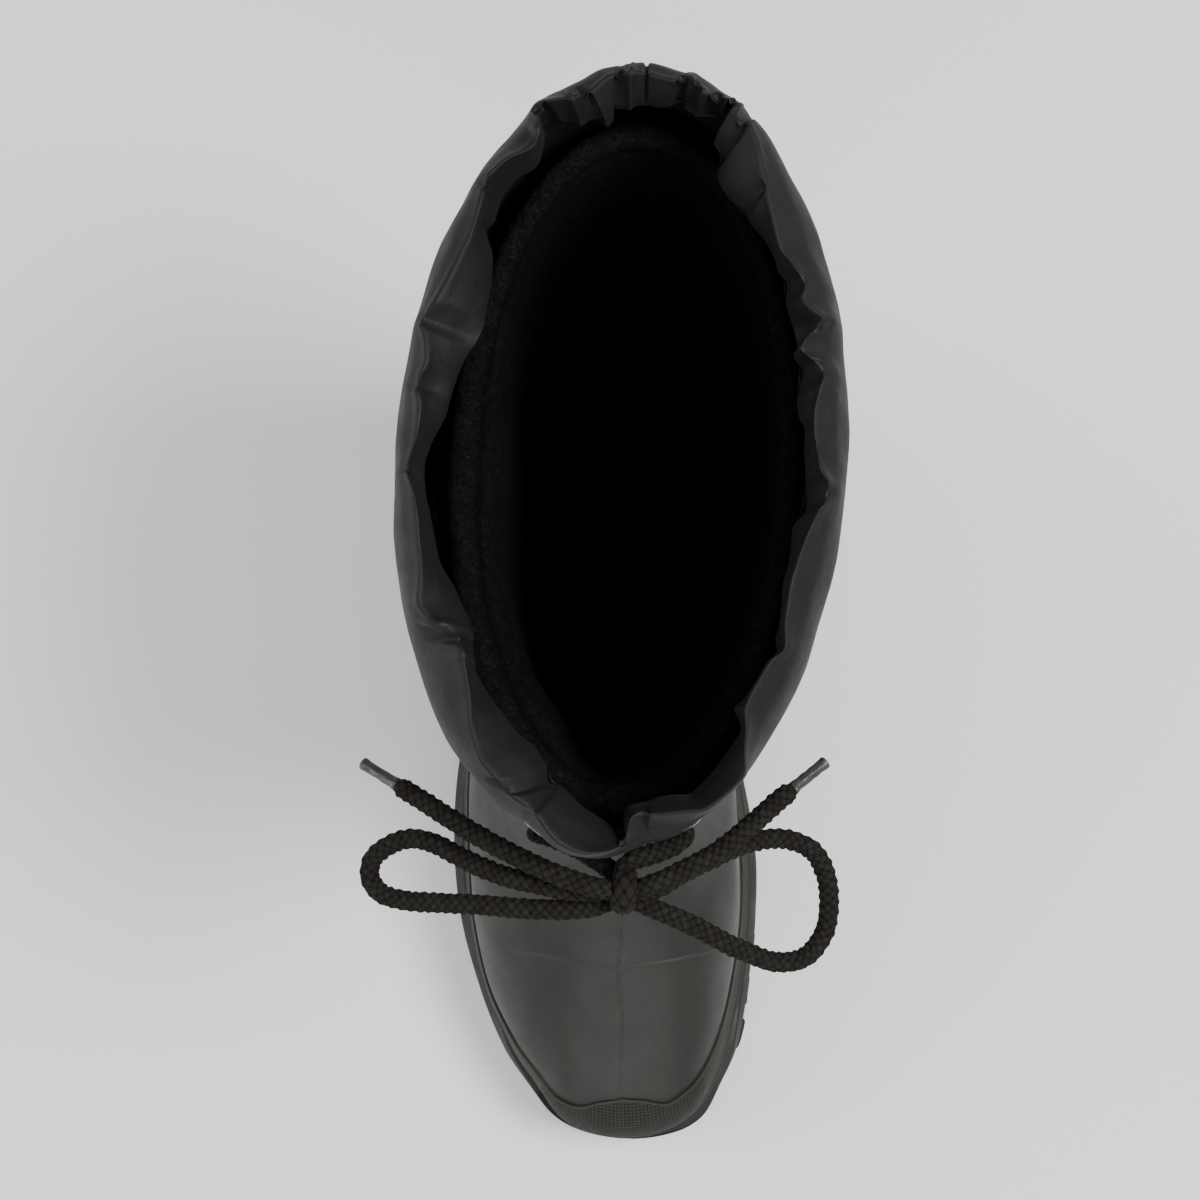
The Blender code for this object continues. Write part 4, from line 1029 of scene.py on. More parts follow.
def braid_tube(name, route, reference, finish, pinch, seed, closed=False):
    """Braided cord along a route in millimetres.  Round its centre line the radius is the cord's less the
    relief, plus the braid's height; reference is a direction that the route never runs along.  An open cord
    is closed by four rows at each end that shrink to its centre line."""
    size = sizes()
    radius, relief = size.cord_diameter / 2, size.braid_relief
    path, run = even_route(route, BRAID_STEP)
    unit_length = run[-1] / max(1, round(run[-1] / BRAID_LUMP))
    if closed:
        path, run = path[:-1], run[:-1]
        tangent = unit(np.roll(path, -1, axis=0) - np.roll(path, 1, axis=0))
    else:
        tangent = unit(np.gradient(path, axis=0))
    side = unit(np.cross(reference, tangent))
    up = np.cross(tangent, side)
    turn = np.arange(BRAID_COLUMNS) / BRAID_COLUMNS
    height, cells, across = braid_height(turn[None, :], run[:, None], unit_length, size.braid_around)
    tone = np.random.default_rng(seed).uniform(0, 1, 5000)[cells % 5000]
    wide = radius - relief * 0.72 + relief * height + 0.10 * (tone - 0.5)
    wide = wide * pinch(run, path)[:, None]
    drum = np.broadcast_arrays(run[:, None], 9 * np.cos(TURN * turn), 9 * np.sin(TURN * turn))
    wide = wide + 0.07 * waves(seed + 50, 16, 2.6, np.stack(drum, axis=-1))
    if not closed:
        shrink = np.array([0.0, 0.5, 0.8, 0.95])
        wide = np.concatenate([wide[:1] * shrink[:, None], wide, wide[-1:] * shrink[::-1, None]])
        beyond = np.array([0.9, 0.6, 0.35, 0.15])
        lead = np.concatenate([-beyond, np.zeros(len(run)), beyond[::-1]])
        path = repeat_ends(path) + repeat_ends(tangent) * lead[:, None]
        side, up, height, tone, across, run = map(repeat_ends, (side, up, height, tone, across, run))
    points = path[:, None] + spokes(TURN * turn, side, up) * wide[..., None]
    ids = grid_ids(len(path), BRAID_COLUMNS, not closed, not closed)
    down = np.append(run, run[-1] + BRAID_STEP) if closed else run
    uv = flat_uv(np.arange(BRAID_COLUMNS + 1) / BRAID_COLUMNS * np.pi * 2 * radius, down)
    low = 1 - np.cos(np.pi * across)
    # Where pit is low, at the strands' edges and in the gaps between lumps, the finish paints shade.
    pit = 1 - low * (0.30 + 0.70 * (1 - np.clip(height / np.maximum(1 - low, 0.05), 0, 1)))
    marks = {"lump": height, "pit": pit, "tone": tone, "strand": across}
    return add_piece(name, points, finish, along=closed, ids=ids, uv=uv, marks=marks, sharp=80.0)


def squeeze(run, path):
    """Share of a cord's width that is left: narrower in its eyelet and inside the knot, and drawn in just
    before the tip."""
    near = np.linalg.norm((path - KNOT_CENTRE) / (5.5, 6.5, 7.5), axis=1)
    tail = smooth((run[-1] + 0.4 - run) / 2.2)
    start = smooth((run - 2.0) / 8.0)
    return (0.80 + 0.20 * smooth((near - 0.5) / 0.9)) * (0.60 + 0.40 * tail) * (0.74 + 0.26 * start)


def cord_tip(name, start, way, finish):
    """Clear sleeve over the end of the cord: a profile of length and radius turned about the cord's line,
    pressed to a soft hexagon in its middle, with an open mouth."""
    profile = np.array([
        # length  radius
        (-0.6,    1.35),
        (-0.5,    1.62),
        (0.0,     1.72),
        (0.8,     1.62),
        (2.2,     1.52),
        (5.0,     1.50),
        (8.4,     1.50),
        (10.2,    1.56),
        (10.9,    1.60),
        (11.1,    1.45),
        (11.0,    1.10),
        (9.6,     0.95),
        (9.2,     0.00),
    ])
    rows = between_rows(np.linspace(0, len(profile) - 1, 61), profile)
    length, radius = rows[:, :1], np.maximum(rows[:, 1:], 0.0)
    turn = np.arange(TIP_COLUMNS) / TIP_COLUMNS * TURN
    side = unit(np.cross((0, 0, 1.0), way))
    spoke = spokes(turn, side, np.cross(way, side))
    radius = radius * (1 - 0.05 * np.cos(6 * turn) * smooth((length - 1) / 3) * smooth((10 - length) / 2))
    wrinkle = 0.05 * waves(17, 8, 2.2, start + spoke * 1.5 + (way * length)[:, None])
    points = start + (way * length)[:, None] + spoke * (radius * (1 + wrinkle * (radius > 1.2)))[..., None]
    points[[0, -1]] = (start + way * length[[0, -1]])[:, None]
    ids = grid_ids(len(rows), TIP_COLUMNS, True, True)
    uv = flat_uv(np.arange(TIP_COLUMNS + 1) / TIP_COLUMNS * TIP_ROUND, rows[:, 0])
    return add_piece(name, points, finish, ids=ids, uv=uv, sharp=60.0)


class BOOT_OT_drawcord(Operator):
    """Braided drawcord tied in a bow, with its tips and its eyelets"""

    bl_idname = "boot.drawcord"
    bl_label = "Drawcord"
    bl_options = {"REGISTER", "UNDO"}

    def execute(self, context):
        """Each half of the cord runs from its eyelet into the knot, round the loop on the other side from
        its lower leg, back through the knot and out as an end on its own side."""
        cord, sleeve, brass = cord_finish(), tip_finish(), brass_finish()
        knot = self.wrap(cord)
        halves = {
            "medial": (LEAD_MEDIAL, LOOP_LATERAL, END_MEDIAL,
                       ("cord_lead_medial", "bow_loop_lateral", "cord_end_medial")),
            "lateral": (LEAD_LATERAL, LOOP_MEDIAL, END_LATERAL,
                        ("cord_lead_lateral", "bow_loop_medial", "cord_end_lateral")),
        }
        for side, (lead, loop, end, nodes) in halves.items():
            route = np.concatenate([lead, [KNOT_PASS[side]], loop[::-1], end]) / MM
            tip_way = unit(route[-1] - route[-2])
            piece = braid_tube(f"drawcord_{side}", route, (0.0, 0.0, 1.0), cord, squeeze,
                               3 if side == "medial" else 4)
            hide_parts(*nodes)
            tip = cord_tip(f"cord_tip_{side}", route[-1] + tip_way * FIT, tip_way, sleeve)
            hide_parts(f"aglet_{side}")
            path, run = even_route(route, 3.0)
            self.eyelet(side, brass)
        return {"FINISHED"}

    def wrap(self, finish):
        """The turn of cord that wraps the bow's middle: an upright oval round the bundle of strands."""
        turn = np.linspace(0, TURN, 49)
        centre = KNOT_CENTRE + (-0.2, 0.1, -0.2)
        route = np.stack([centre[0] + 0.3 * np.sin(turn),
                          centre[1] + 3.0 * np.sin(turn) * (1 + 0.1 * np.cos(turn)),
                          centre[2] + 4.9 * np.cos(turn)], axis=-1)
        piece = braid_tube("bow_wrap", route, (1.0, 0.0, 0.0), finish,
                           lambda run, path: np.full(len(run), WRAP_SWELL), 8, closed=True)
        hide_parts("bow_knot")
        return piece

    def eyelet(self, side, finish):
        """Rolled metal ring on the face of the hem: a rounded profile of radius and rise, turned about the
        face's normal."""
        place, normal = cuff_face(np.radians(EYELET_ANGLES[side]), EYELET_HEIGHT)
        flange, hole = EYELET_RADII
        profile = np.array([
            (flange, 0.00), (flange, 0.35), (flange - 0.35, 0.75), (flange - 1.1, 1.15), (hole + 0.5, 1.05),
            (hole + 0.1, 0.55), (hole, 0.0), (hole + 0.5, -0.05), (flange - 0.5, -0.05), (flange, 0.0),
        ])
        rows = between_rows(np.linspace(0, len(profile) - 1, 37)[:-1], profile)
        across = unit(np.cross((0, 0, 1.0), normal))
        spoke = spokes(np.arange(EYELET_COLUMNS) / EYELET_COLUMNS * TURN, across, np.cross(normal, across))
        rise = (EYELET_START[side] + rows[:, 1])[:, None, None]
        points = place + normal * rise + spoke * rows[:, :1, None]
        piece = add_piece(f"eyelet_ring_{side}", points, finish, along=True)
        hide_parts(f"eyelet_{side}")


class BOOT_OT_upper(Operator):
    """Rubber foot and shaft with the mould seam and the welt across the vamp"""

    bl_idname = "boot.upper"
    bl_label = "Rubber Upper"
    bl_options = {"REGISTER", "UNDO"}

    def execute(self, context):
        """Outer face from the boot's rings, with rows gathered at the welt and columns at the seams.  The
        seam and the welt are bell curves of the distance from their lines, the face has soft waves."""
        height = sizes().seam_height
        even = np.linspace(0, 360, 301)[:-1]
        at_seam, at_heel = (np.arange(*span, FINE_COLUMN) % 360 for span in (SEAM_COLUMNS, HEEL_COLUMNS))
        degrees = np.unique(np.round(np.concatenate([even, at_seam, at_heel]), 3))
        angle = np.radians(degrees)[None, :]
        welt = curve(signed(degrees), VAMP_WELT[:, 0], VAMP_WELT[:, 1])[None, :]
        share = np.linspace(0, 1, ROWS_BELOW)[:-1, None]
        near = np.linspace(-WELT_BAND, WELT_BAND, ROWS_IN)[:, None]
        above = np.linspace(0, 1, ROWS_ABOVE)[1:, None]
        rings = np.concatenate([(welt - WELT_BAND) * share, welt + near,
                                (welt + WELT_BAND) + (TOP_RING - welt - WELT_BAND) * above])
        angles = np.broadcast_to(angle, rings.shape)
        points = boot_point(angles, rings)
        normal = boot_normal(angles, rings)
        away = signed(degrees[None, :] - curve(rings, VAMP_SEAM[:, 0], VAMP_SEAM[:, 1]))
        degree = np.linalg.norm(np.diff(boot_point(np.radians([[0.0, 1.0]]), rings[:, :1]), axis=1), axis=-1)
        grain = waves(5, 10, 2.6, points)
        seam = bell(away * degree, SEAM_WIDTH) * (0.75 + 0.5 * grain)
        seam += bell((degrees[None, :] - 180) * HEEL_DEGREE, HEEL_SEAM_WIDTH)
        line = (rings - welt) * ring_step(angle, welt)
        fade = smooth((WELT_ENDS - np.abs(signed(degrees))) / WELT_FADES_OVER)[None, :]
        weld = bell(line, WELT_WIDTH) * fade
        hollow = bell(line - HOLLOW_AT, HOLLOW_WIDTH) * fade * 0.4
        above_rand = smooth((rings - rand_edge(angles)) / 0.16 / 6)
        soft = waves(2, 9, 46.0, points) * 0.22 * above_rand + waves(3, 12, 17.0, points) * 0.05
        rise = height * (seam + 0.7 * weld) - 0.12 * hollow + soft
        points = points + normal * rise[..., None]
        points[0, :, 2] += FIT
        inner_rings, inner_angles = np.broadcast_arrays(np.array(INNER_RINGS)[:, None], angle)
        inner = raised(inner_angles, inner_rings, -WALL)
        inner[-1, :, 2] = points[0, :, 2]
        lip = (points[-1:] * 0.5 + inner[:1] * 0.5) + (0, 0, 0.25)
        edge = rand_edge(angle)
        # Painted shade in the groove just above the rand's upper edge.
        groove = bell((rings - edge) * ring_step(angle, edge) - 0.4, 0.7) * 0.05
        blank = np.zeros((len(inner) + 1, angle.shape[1]))
        # Painted highlight along the mould seam, dotted by the grain, and along the welt.
        rubbed = np.clip(weld * 0.22 + seam * np.clip(0.2 + 0.9 * grain, 0, 1), 0, 1)
        marks = {"rubbed": np.concatenate([rubbed, blank]), "hollow": np.concatenate([groove, blank])}
        piece = add_piece("rubber_upper", np.concatenate([points, lip, inner]), rubber_finish(),
                          along=True, marks=marks)
        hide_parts("boot_shell")
        return {"FINISHED"}


class BOOT_OT_rand(Operator):
    """Pimpled rand round the toe, which goes on round the heel as a low band"""

    bl_idname = "boot.rand"
    bl_label = "Rand"
    bl_options = {"REGISTER", "UNDO"}

    def execute(self, context):
        """A band of even rows from the sole up to the rand's edge.  Four grid steps make one pimple.  The
        pimples are a product of two waves: along and up at the toe, and along the two diagonals at the
        sides.  A bead runs along the lower edge."""
        size = sizes()
        cell = size.pimple_pitch / 4
        angle = arc_angles(lambda degrees: cell + (RAND_COLUMN - cell)
                           * smooth((degrees - RAND_FINE_TO) / RAND_WIDENS_OVER))
        columns = len(angle)
        numbers = np.linspace(0, RAND_SCALE_TOP, RAND_SCALE_ROWS)
        length = self.run_up(angle, numbers)
        edge_ring = rand_edge(angle)
        edge = self.run_at(length, edge_ring / numbers[1])
        rows = int(np.ceil(edge.max() / cell)) + 1
        want = np.minimum(np.arange(rows)[:, None] * cell, edge[None, :])
        rings = self.ring_at(length, want, numbers)
        angles = np.broadcast_to(angle, want.shape)
        degrees = np.degrees((angles + np.pi) % TURN - np.pi)
        i, j = np.arange(columns)[None, :] / 4, np.arange(rows)[:, None] / 4
        from_toe = np.minimum(i, columns / 4 - i)
        square = (0.5 + 0.5 * np.cos(TURN * i)) * (0.5 + 0.5 * np.cos(TURN * j)) * 1.25
        lines = 0.5 + 0.5 * np.cos(TURN * 1.15 * (j + 0.5 * from_toe))
        cross = (0.5 + 0.5 * np.cos(TURN * (i + j))) * (0.5 + 0.5 * np.cos(TURN * (i - j))) * 1.25
        lined = come_in(-degrees, LINES_FROM) * 0.75
        share = come_in(np.abs(degrees), DIAGONAL_FROM)
        pattern = square * (1 - lined) + lines * lined
        pattern = np.clip(pattern * (1 - share) + cross * share, 0, 1)
        border = (smooth((edge - want - STRIP_ABOVE) / STRIP_EDGE)
                  * smooth((want - STRIP_BELOW) / STRIP_EDGE))
        ends = 1 - come_in(np.abs(degrees), PLAIN_FROM)
        pimple = pattern * border * ends
        bead = bell(want - BEAD_AT, BEAD_WIDTH)
        valley = bell(want - VALLEY_AT, VALLEY_WIDTH)
        seam = bell(degrees + 0.6, 0.5)
        shoulder = smooth((edge - want) / 0.5)
        rise = (size.rand_step * (0.8 + 0.2 * shoulder) + size.pimple_height * (pimple - 0.3 * border * ends)
                + 0.42 * bead - 0.15 * valley + 0.25 * seam * border)
        points = raised(angles, rings, rise)
        # Rows over the rand's edge and behind it: place up the face, and how far they stand out of it.
        step, behind = size.rand_step, -0.3
        extra = [(edge + 0.12, 0.62 * step), (edge + 0.2, 0.3 * step), (edge + 0.22, -0.25 * step),
                 (edge * 0.4, behind), (edge - 0.5, behind), (edge * 0, behind)]
        tall = np.stack([up for up, out in extra])
        proud = np.array([out for up, out in extra])[:, None]
        more = self.ring_at(length, tall, numbers)
        points = np.concatenate([points, raised(np.broadcast_to(angle, more.shape), more, proud)])
        points[[0, -1], :, 2] += FIT
        ids = grid_ids(len(points), columns)
        top = np.ceil(edge / cell - 1e-6).astype(int)
        ids[:rows] = np.minimum(np.arange(rows)[:, None], top) * columns + np.arange(columns)
        blank = np.zeros((len(extra), columns))
        # Painted shade between the pimples, in the valley, at the upper edge and on the rows over and behind
        # it.
        gap = np.clip((1 - pattern) * border * ends * (0.75 - 0.45 * share) + 0.3 * valley
                      + 0.15 * (1 - smooth((edge - want) / 0.3)), 0, 1)
        # Painted highlight on the pimples' tops, along the brow below the rand's upper edge, on the bead and
        # over the lighter side band.
        brow = 0.6 * bell(edge - want - 0.45, 0.28) * ends
        plain = (0.65 + 0.30 * smooth(-degrees / 30)) * share * border
        rubbed = np.clip(pimple * (0.78 - 0.15 * share) + plain + 0.8 * bead + brow, 0, 1)
        marks = {"pimple": np.concatenate([rubbed, blank]),
                 "hollow": np.concatenate([gap, blank + 0.10])}
        add_piece("toe_rand", points, rand_finish(), along=True, ids=ids, marks=marks,
                  sharp=75.0)
        return {"FINISHED"}

    @staticmethod
    def run_up(angle, numbers):
        """Length up the boot's face from its lowest ring to each ring number, at each angle."""
        rings, angles = np.meshgrid(numbers, angle, indexing="ij")
        step = np.linalg.norm(np.diff(boot_point(angles, rings), axis=0), axis=-1)
        return np.concatenate([np.zeros((1, len(angle))), np.cumsum(step, axis=0)])

    @staticmethod
    def run_at(length, place):
        """Length at a fractional row of the table of lengths, for each column."""
        low = np.clip(np.floor(place).astype(int), 0, len(length) - 2)
        column = np.arange(length.shape[1])
        return length[low, column] + (length[low + 1, column] - length[low, column]) * (place - low)

    @staticmethod
    def ring_at(length, want, numbers):
        """Ring number at a length up the face: the table of lengths read backwards."""
        column = np.broadcast_to(np.arange(length.shape[1]), want.shape)
        low = np.zeros(want.shape, int)
        for row in length[1:-1]:
            low += row[None, :] <= want
        span = length[low + 1, column] - length[low, column]
        return (low + (want - length[low, column]) / span) * numbers[1]


def sole_frame(angle):
    """Place of the sole's outline, the inward direction and how far its ledge is drawn in."""
    x, y = outline(angle)
    inward = unit(np.stack([np.gradient(y), -np.gradient(x)], axis=-1))
    grown = LEDGE_AT_TOE + (1 - LEDGE_AT_TOE) * smooth(along_of(angle) / LEDGE_GROWS_OVER)
    ledge = grown * np.where(np.sin(angle) > 0, LEDGE_MEDIAL, LEDGE_LATERAL)
    return np.stack([x, y], axis=-1), inward, ledge


class BOOT_OT_sole(Operator):
    """Outsole with its wall, tread ground and lugs"""

    bl_idname = "boot.sole"
    bl_label = "Outsole"
    bl_options = {"REGISTER", "UNDO"}

    def execute(self, context):
        """The wall is the side profile carried round the outline between the tread's ground and the top.
        Both faces close on the foot's centre line.  Lugs are bent blocks under it."""
        bends = np.arccos(1 - 2 * np.array([0.46, 0.53, 0.62, 0.695, 0.70, 0.705, 0.71]))
        half = np.unique(np.concatenate([np.linspace(0, np.pi, 281), bends]))
        angle = np.concatenate([half, TURN - half[-2:0:-1]])
        place, inward, ledge = sole_frame(angle)
        along = along_of(angle)
        base, top = sole_height(along, 2), top_height(place[:, 1])
        profile = between_rows(np.linspace(0, len(SOLE_SIDE) - 1, 41), SOLE_SIDE)
        wall = np.stack([np.column_stack([place - inward * (inset * ledge)[:, None],
                                          base + (top - base) * height]) for height, inset in profile])
        upper = close_over(wall[0], 8, lambda rows: top_height(rows[..., 1]) - 0.2)
        ground = close_over(wall[-1], 12)
        points = np.concatenate([upper[::-1], wall, ground])
        finish = sole_finish()
        body = add_piece("outsole_body", points, finish, ids=folded_ids(*points.shape[:2]))
        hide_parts("outsole")
        self.lugs(finish)
        return {"FINISHED"}

    def lugs(self, finish):
        """Bent blocks in rows across the tread.  Each is a grid wrapped round a rounded box: a share across
        and a share along give its place, and its ends follow the sole's outline."""
        u, v, level = self.box_grid()
        vertices = []
        for row_y, length, across in TREAD_ROWS:
            skew = LUG_SKEW if row_y < 0 else HEEL_SKEW
            for lug in range(int(across)):
                share = (lug + u) / across
                y = row_y + (v - 0.5) * length
                angle = np.arccos(np.clip(-2 * y / SOLE_LENGTH, -1, 1))
                lateral = outline(TURN - angle)[0] + LUG_INSET
                medial = outline(angle)[0] + np.interp(y, MEDIAL_OVERHANG[:, 0], MEDIAL_OVERHANG[:, 1])
                start = 0.0 if lug == 0 else LUG_GAP / 2
                end = 0.0 if lug == across - 1 else LUG_GAP / 2
                x = lateral + (medial - lateral) * share + start * (1 - u) - end * u
                y = y + skew * (2 * share - 1) ** 2
                along = y / SOLE_LENGTH + 0.5
                low, high = sole_height(along, 3), sole_height(along, 2) + LUG_ROOT
                vertices.append(np.stack([x, y, low + (high - low) * level], axis=-1))
        faces = self.box_faces()
        every = np.concatenate([faces + k * len(u) for k in range(len(vertices))])
        mesh = bpy.data.meshes.new("tread_lugs")
        mesh.from_pydata((np.concatenate(vertices) * MM).tolist(), [], every.tolist())
        mesh.shade_smooth()
        piece = place_piece("tread_lugs", mesh, finish)
        bevel = piece.modifiers.new("edges", "BEVEL")
        bevel.width, bevel.segments = 0.0007, 2
        bevel.limit_method, bevel.angle_limit = "ANGLE", np.radians(40)

    @staticmethod
    def box_grid():
        """Shares across and along and the level of a block's vertices: a grid below and a grid above."""
        side = np.linspace(0, 1, LUG_LINES)
        v, u = np.meshgrid(side, side, indexing="ij")
        return np.tile(u.ravel(), 2), np.tile(v.ravel(), 2), np.repeat([0.0, 1.0], u.size)

    @staticmethod
    def box_faces():
        """Faces of a block: the grid below facing down, the grid above facing up and four sides."""
        n = LUG_LINES
        number = np.arange(n * n).reshape(n, n)
        corners = (number[:-1, :-1], number[:-1, 1:], number[1:, 1:], number[1:, :-1])
        down = np.stack([corner.ravel() for corner in corners[::-1]], axis=-1)
        up = down[:, ::-1] + n * n
        rim = np.concatenate([number[0, :-1], number[:-1, -1], number[-1, :0:-1], number[:0:-1, 0]])
        after = np.roll(rim, -1)
        sides = np.stack([rim, after, after + n * n, rim + n * n], axis=-1)
        return np.concatenate([down, up, sides])


class BOOT_OT_felt(Operator):
    """Felt boot inside the rubber, with its matted rim and loose hairs"""

    bl_idname = "boot.felt"
    bl_label = "Felt Boot"
    bl_options = {"REGISTER", "UNDO"}

    def execute(self, context):
        """The section runs up the outside, over the rim and down the inside; the rings are drawn in from
        the rubber's by its wall, the play and the felt.  Both floors close on the centre line."""
        angle = np.linspace(0, TURN, FELT_COLUMNS, endpoint=False)
        outset = WALL + LINER_PLAY
        outer = [self.inset(angle, number, outset) for number in FELT_OUTER_RINGS]
        rim = [ring_point(angle, [*row, 0.0, 0.0]) for row in FELT_RIM]
        inner = [self.inset(angle, number, outset + self.thickness(number))
                 for number in np.arange(12.0, 0.9, -0.5)]
        keys = np.stack(outer + rim + inner)
        first, last = len(outer), len(outer) + len(rim)
        steps = np.concatenate([np.arange(0, first - 1, 0.5), np.arange(first - 1, last, 0.14),
                                np.arange(last, len(keys) - 0.99, 0.34)])
        inside = smooth((steps - first - 4.6) / 3.2) * smooth((last + 9.0 - steps) / 6.0)
        section = self.lean_in(between_rows(steps, keys), angle, inside)
        normal = grid_normals(section)
        seam = bell(steps - (first + 5.35), 0.25)[:, None]
        soft = smooth((steps - first) / 2.0)[:, None]
        nap = waves(31, 26, 5.0, section) * 0.5 + waves(32, 30, 2.2, section) * 0.5
        lumps = waves(33, 10, 24.0, section)
        rise = soft * (sizes().felt_nap * nap + 0.22 * lumps) - 0.35 * seam
        section = section - normal * rise[..., None]
        under = self.floor(section[0], 8, 2 * FIT)
        tread = self.floor(section[-1], 14, INSOLE)
        points = np.concatenate([under[::-1], section, tread])
        hollow = np.zeros(points.shape[:2])
        # The seam's groove gets painted shade.
        hollow[len(under):-len(tread)] = seam
        finish = felt_finish()
        piece = add_piece("felt_boot", points, finish, ids=folded_ids(*points.shape[:2]),
                          marks={"hollow": hollow})
        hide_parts("felt_liner")
        self.hairs(section, steps, first, finish)
        return {"FINISHED"}

    @staticmethod
    def floor(ring, steps, above):
        """Rows that round in from a ring of the felt's side and close its floor, a height above the sole."""
        rim = np.column_stack([ring[:, :2] * FLOOR_SHRINK, top_height(ring[:, 1]) + above])
        rows = close_over(rim, steps, lambda places: top_height(places[..., 1]) + above)
        return np.concatenate([rim[None], rows])

    @staticmethod
    def inset(angle, number, depth):
        """One ring of the boot, set in from the outside of the rubber."""
        return raised(angle, np.full_like(angle, number), -depth)

    @staticmethod
    def lean_in(section, angle, share):
        """The felt rolls in from the lateral side: its inner face moves towards the middle of the shaft."""
        side = smooth((np.degrees(angle) - 215) / 50) * smooth((358 - np.degrees(angle)) / 30)
        middle = section[..., :2].mean(axis=1, keepdims=True)
        moved = section.copy()
        moved[..., :2] += unit(middle - section[..., :2]) * (FELT_ROLL * share[:, None] * side)[..., None]
        return moved

    @staticmethod
    def thickness(ring):
        """The felt is thicker in the shaft than round the foot."""
        first, last = FELT_THICKENS
        return FELT_FOOT + (FELT_COLLAR - FELT_FOOT) * smooth((ring - first) / (last - first))

    @staticmethod
    def hairs(section, steps, first, finish):
        """Loose hairs: thin three sided tubes that leave the rim, each along a bent seeded path."""
        count = sizes().felt_hairs
        random = np.random.default_rng(77)
        rows = np.flatnonzero((steps > first + 0.6) & (steps < first + 7.5))
        row = random.choice(rows, count)
        column = random.integers(0, section.shape[1], count)
        root = section[row, column]
        out = -grid_normals(section)[row, column]
        way = unit(out * random.uniform(0.1, 0.8, (count, 1)) + random.normal(size=(count, 3)) * 0.8)
        bend = random.normal(size=(count, 3)) * 0.9
        long = random.uniform(*HAIR_LENGTHS, (count, 1))
        share = np.linspace(0, 1, HAIR_ROWS)[None, :, None]
        path = root[:, None] + (way[:, None] * share + bend[:, None] * share**2 * 0.5) * long[:, None]
        path = path - out[:, None] * 0.15
        side = unit(np.cross(way, (0.3, 0.5, 0.8)))
        spoke = spokes(np.arange(HAIR_SIDES) / HAIR_SIDES * TURN, side, np.cross(way, side))
        thick = HAIR_RADIUS * (1 - 0.5 * share[..., 0])
        tube = path[:, :, None] + spoke[:, None] * thick[..., None, None]
        vertices = tube.reshape(-1, 3)
        grid = np.arange(HAIR_ROWS * HAIR_SIDES).reshape(HAIR_ROWS, HAIR_SIDES)
        low, high = grid[:-1], grid[1:]
        quads = np.stack([low, np.roll(low, -1, axis=1), np.roll(high, -1, axis=1), high], axis=-1)
        start = (np.arange(count) * grid.size)[:, None, None]
        sides = (quads.reshape(1, -1, 4) + start).reshape(-1, 4)
        caps = (np.array([grid[0, ::-1], grid[-1]]) + start).reshape(-1, HAIR_SIDES)
        mesh = bpy.data.meshes.new("felt_hairs")
        mesh.from_pydata((vertices * MM).tolist(), [], sides.tolist() + caps.tolist())
        mesh.attributes.new("hollow", "FLOAT", "POINT")
        place_piece("felt_hairs", mesh, finish)


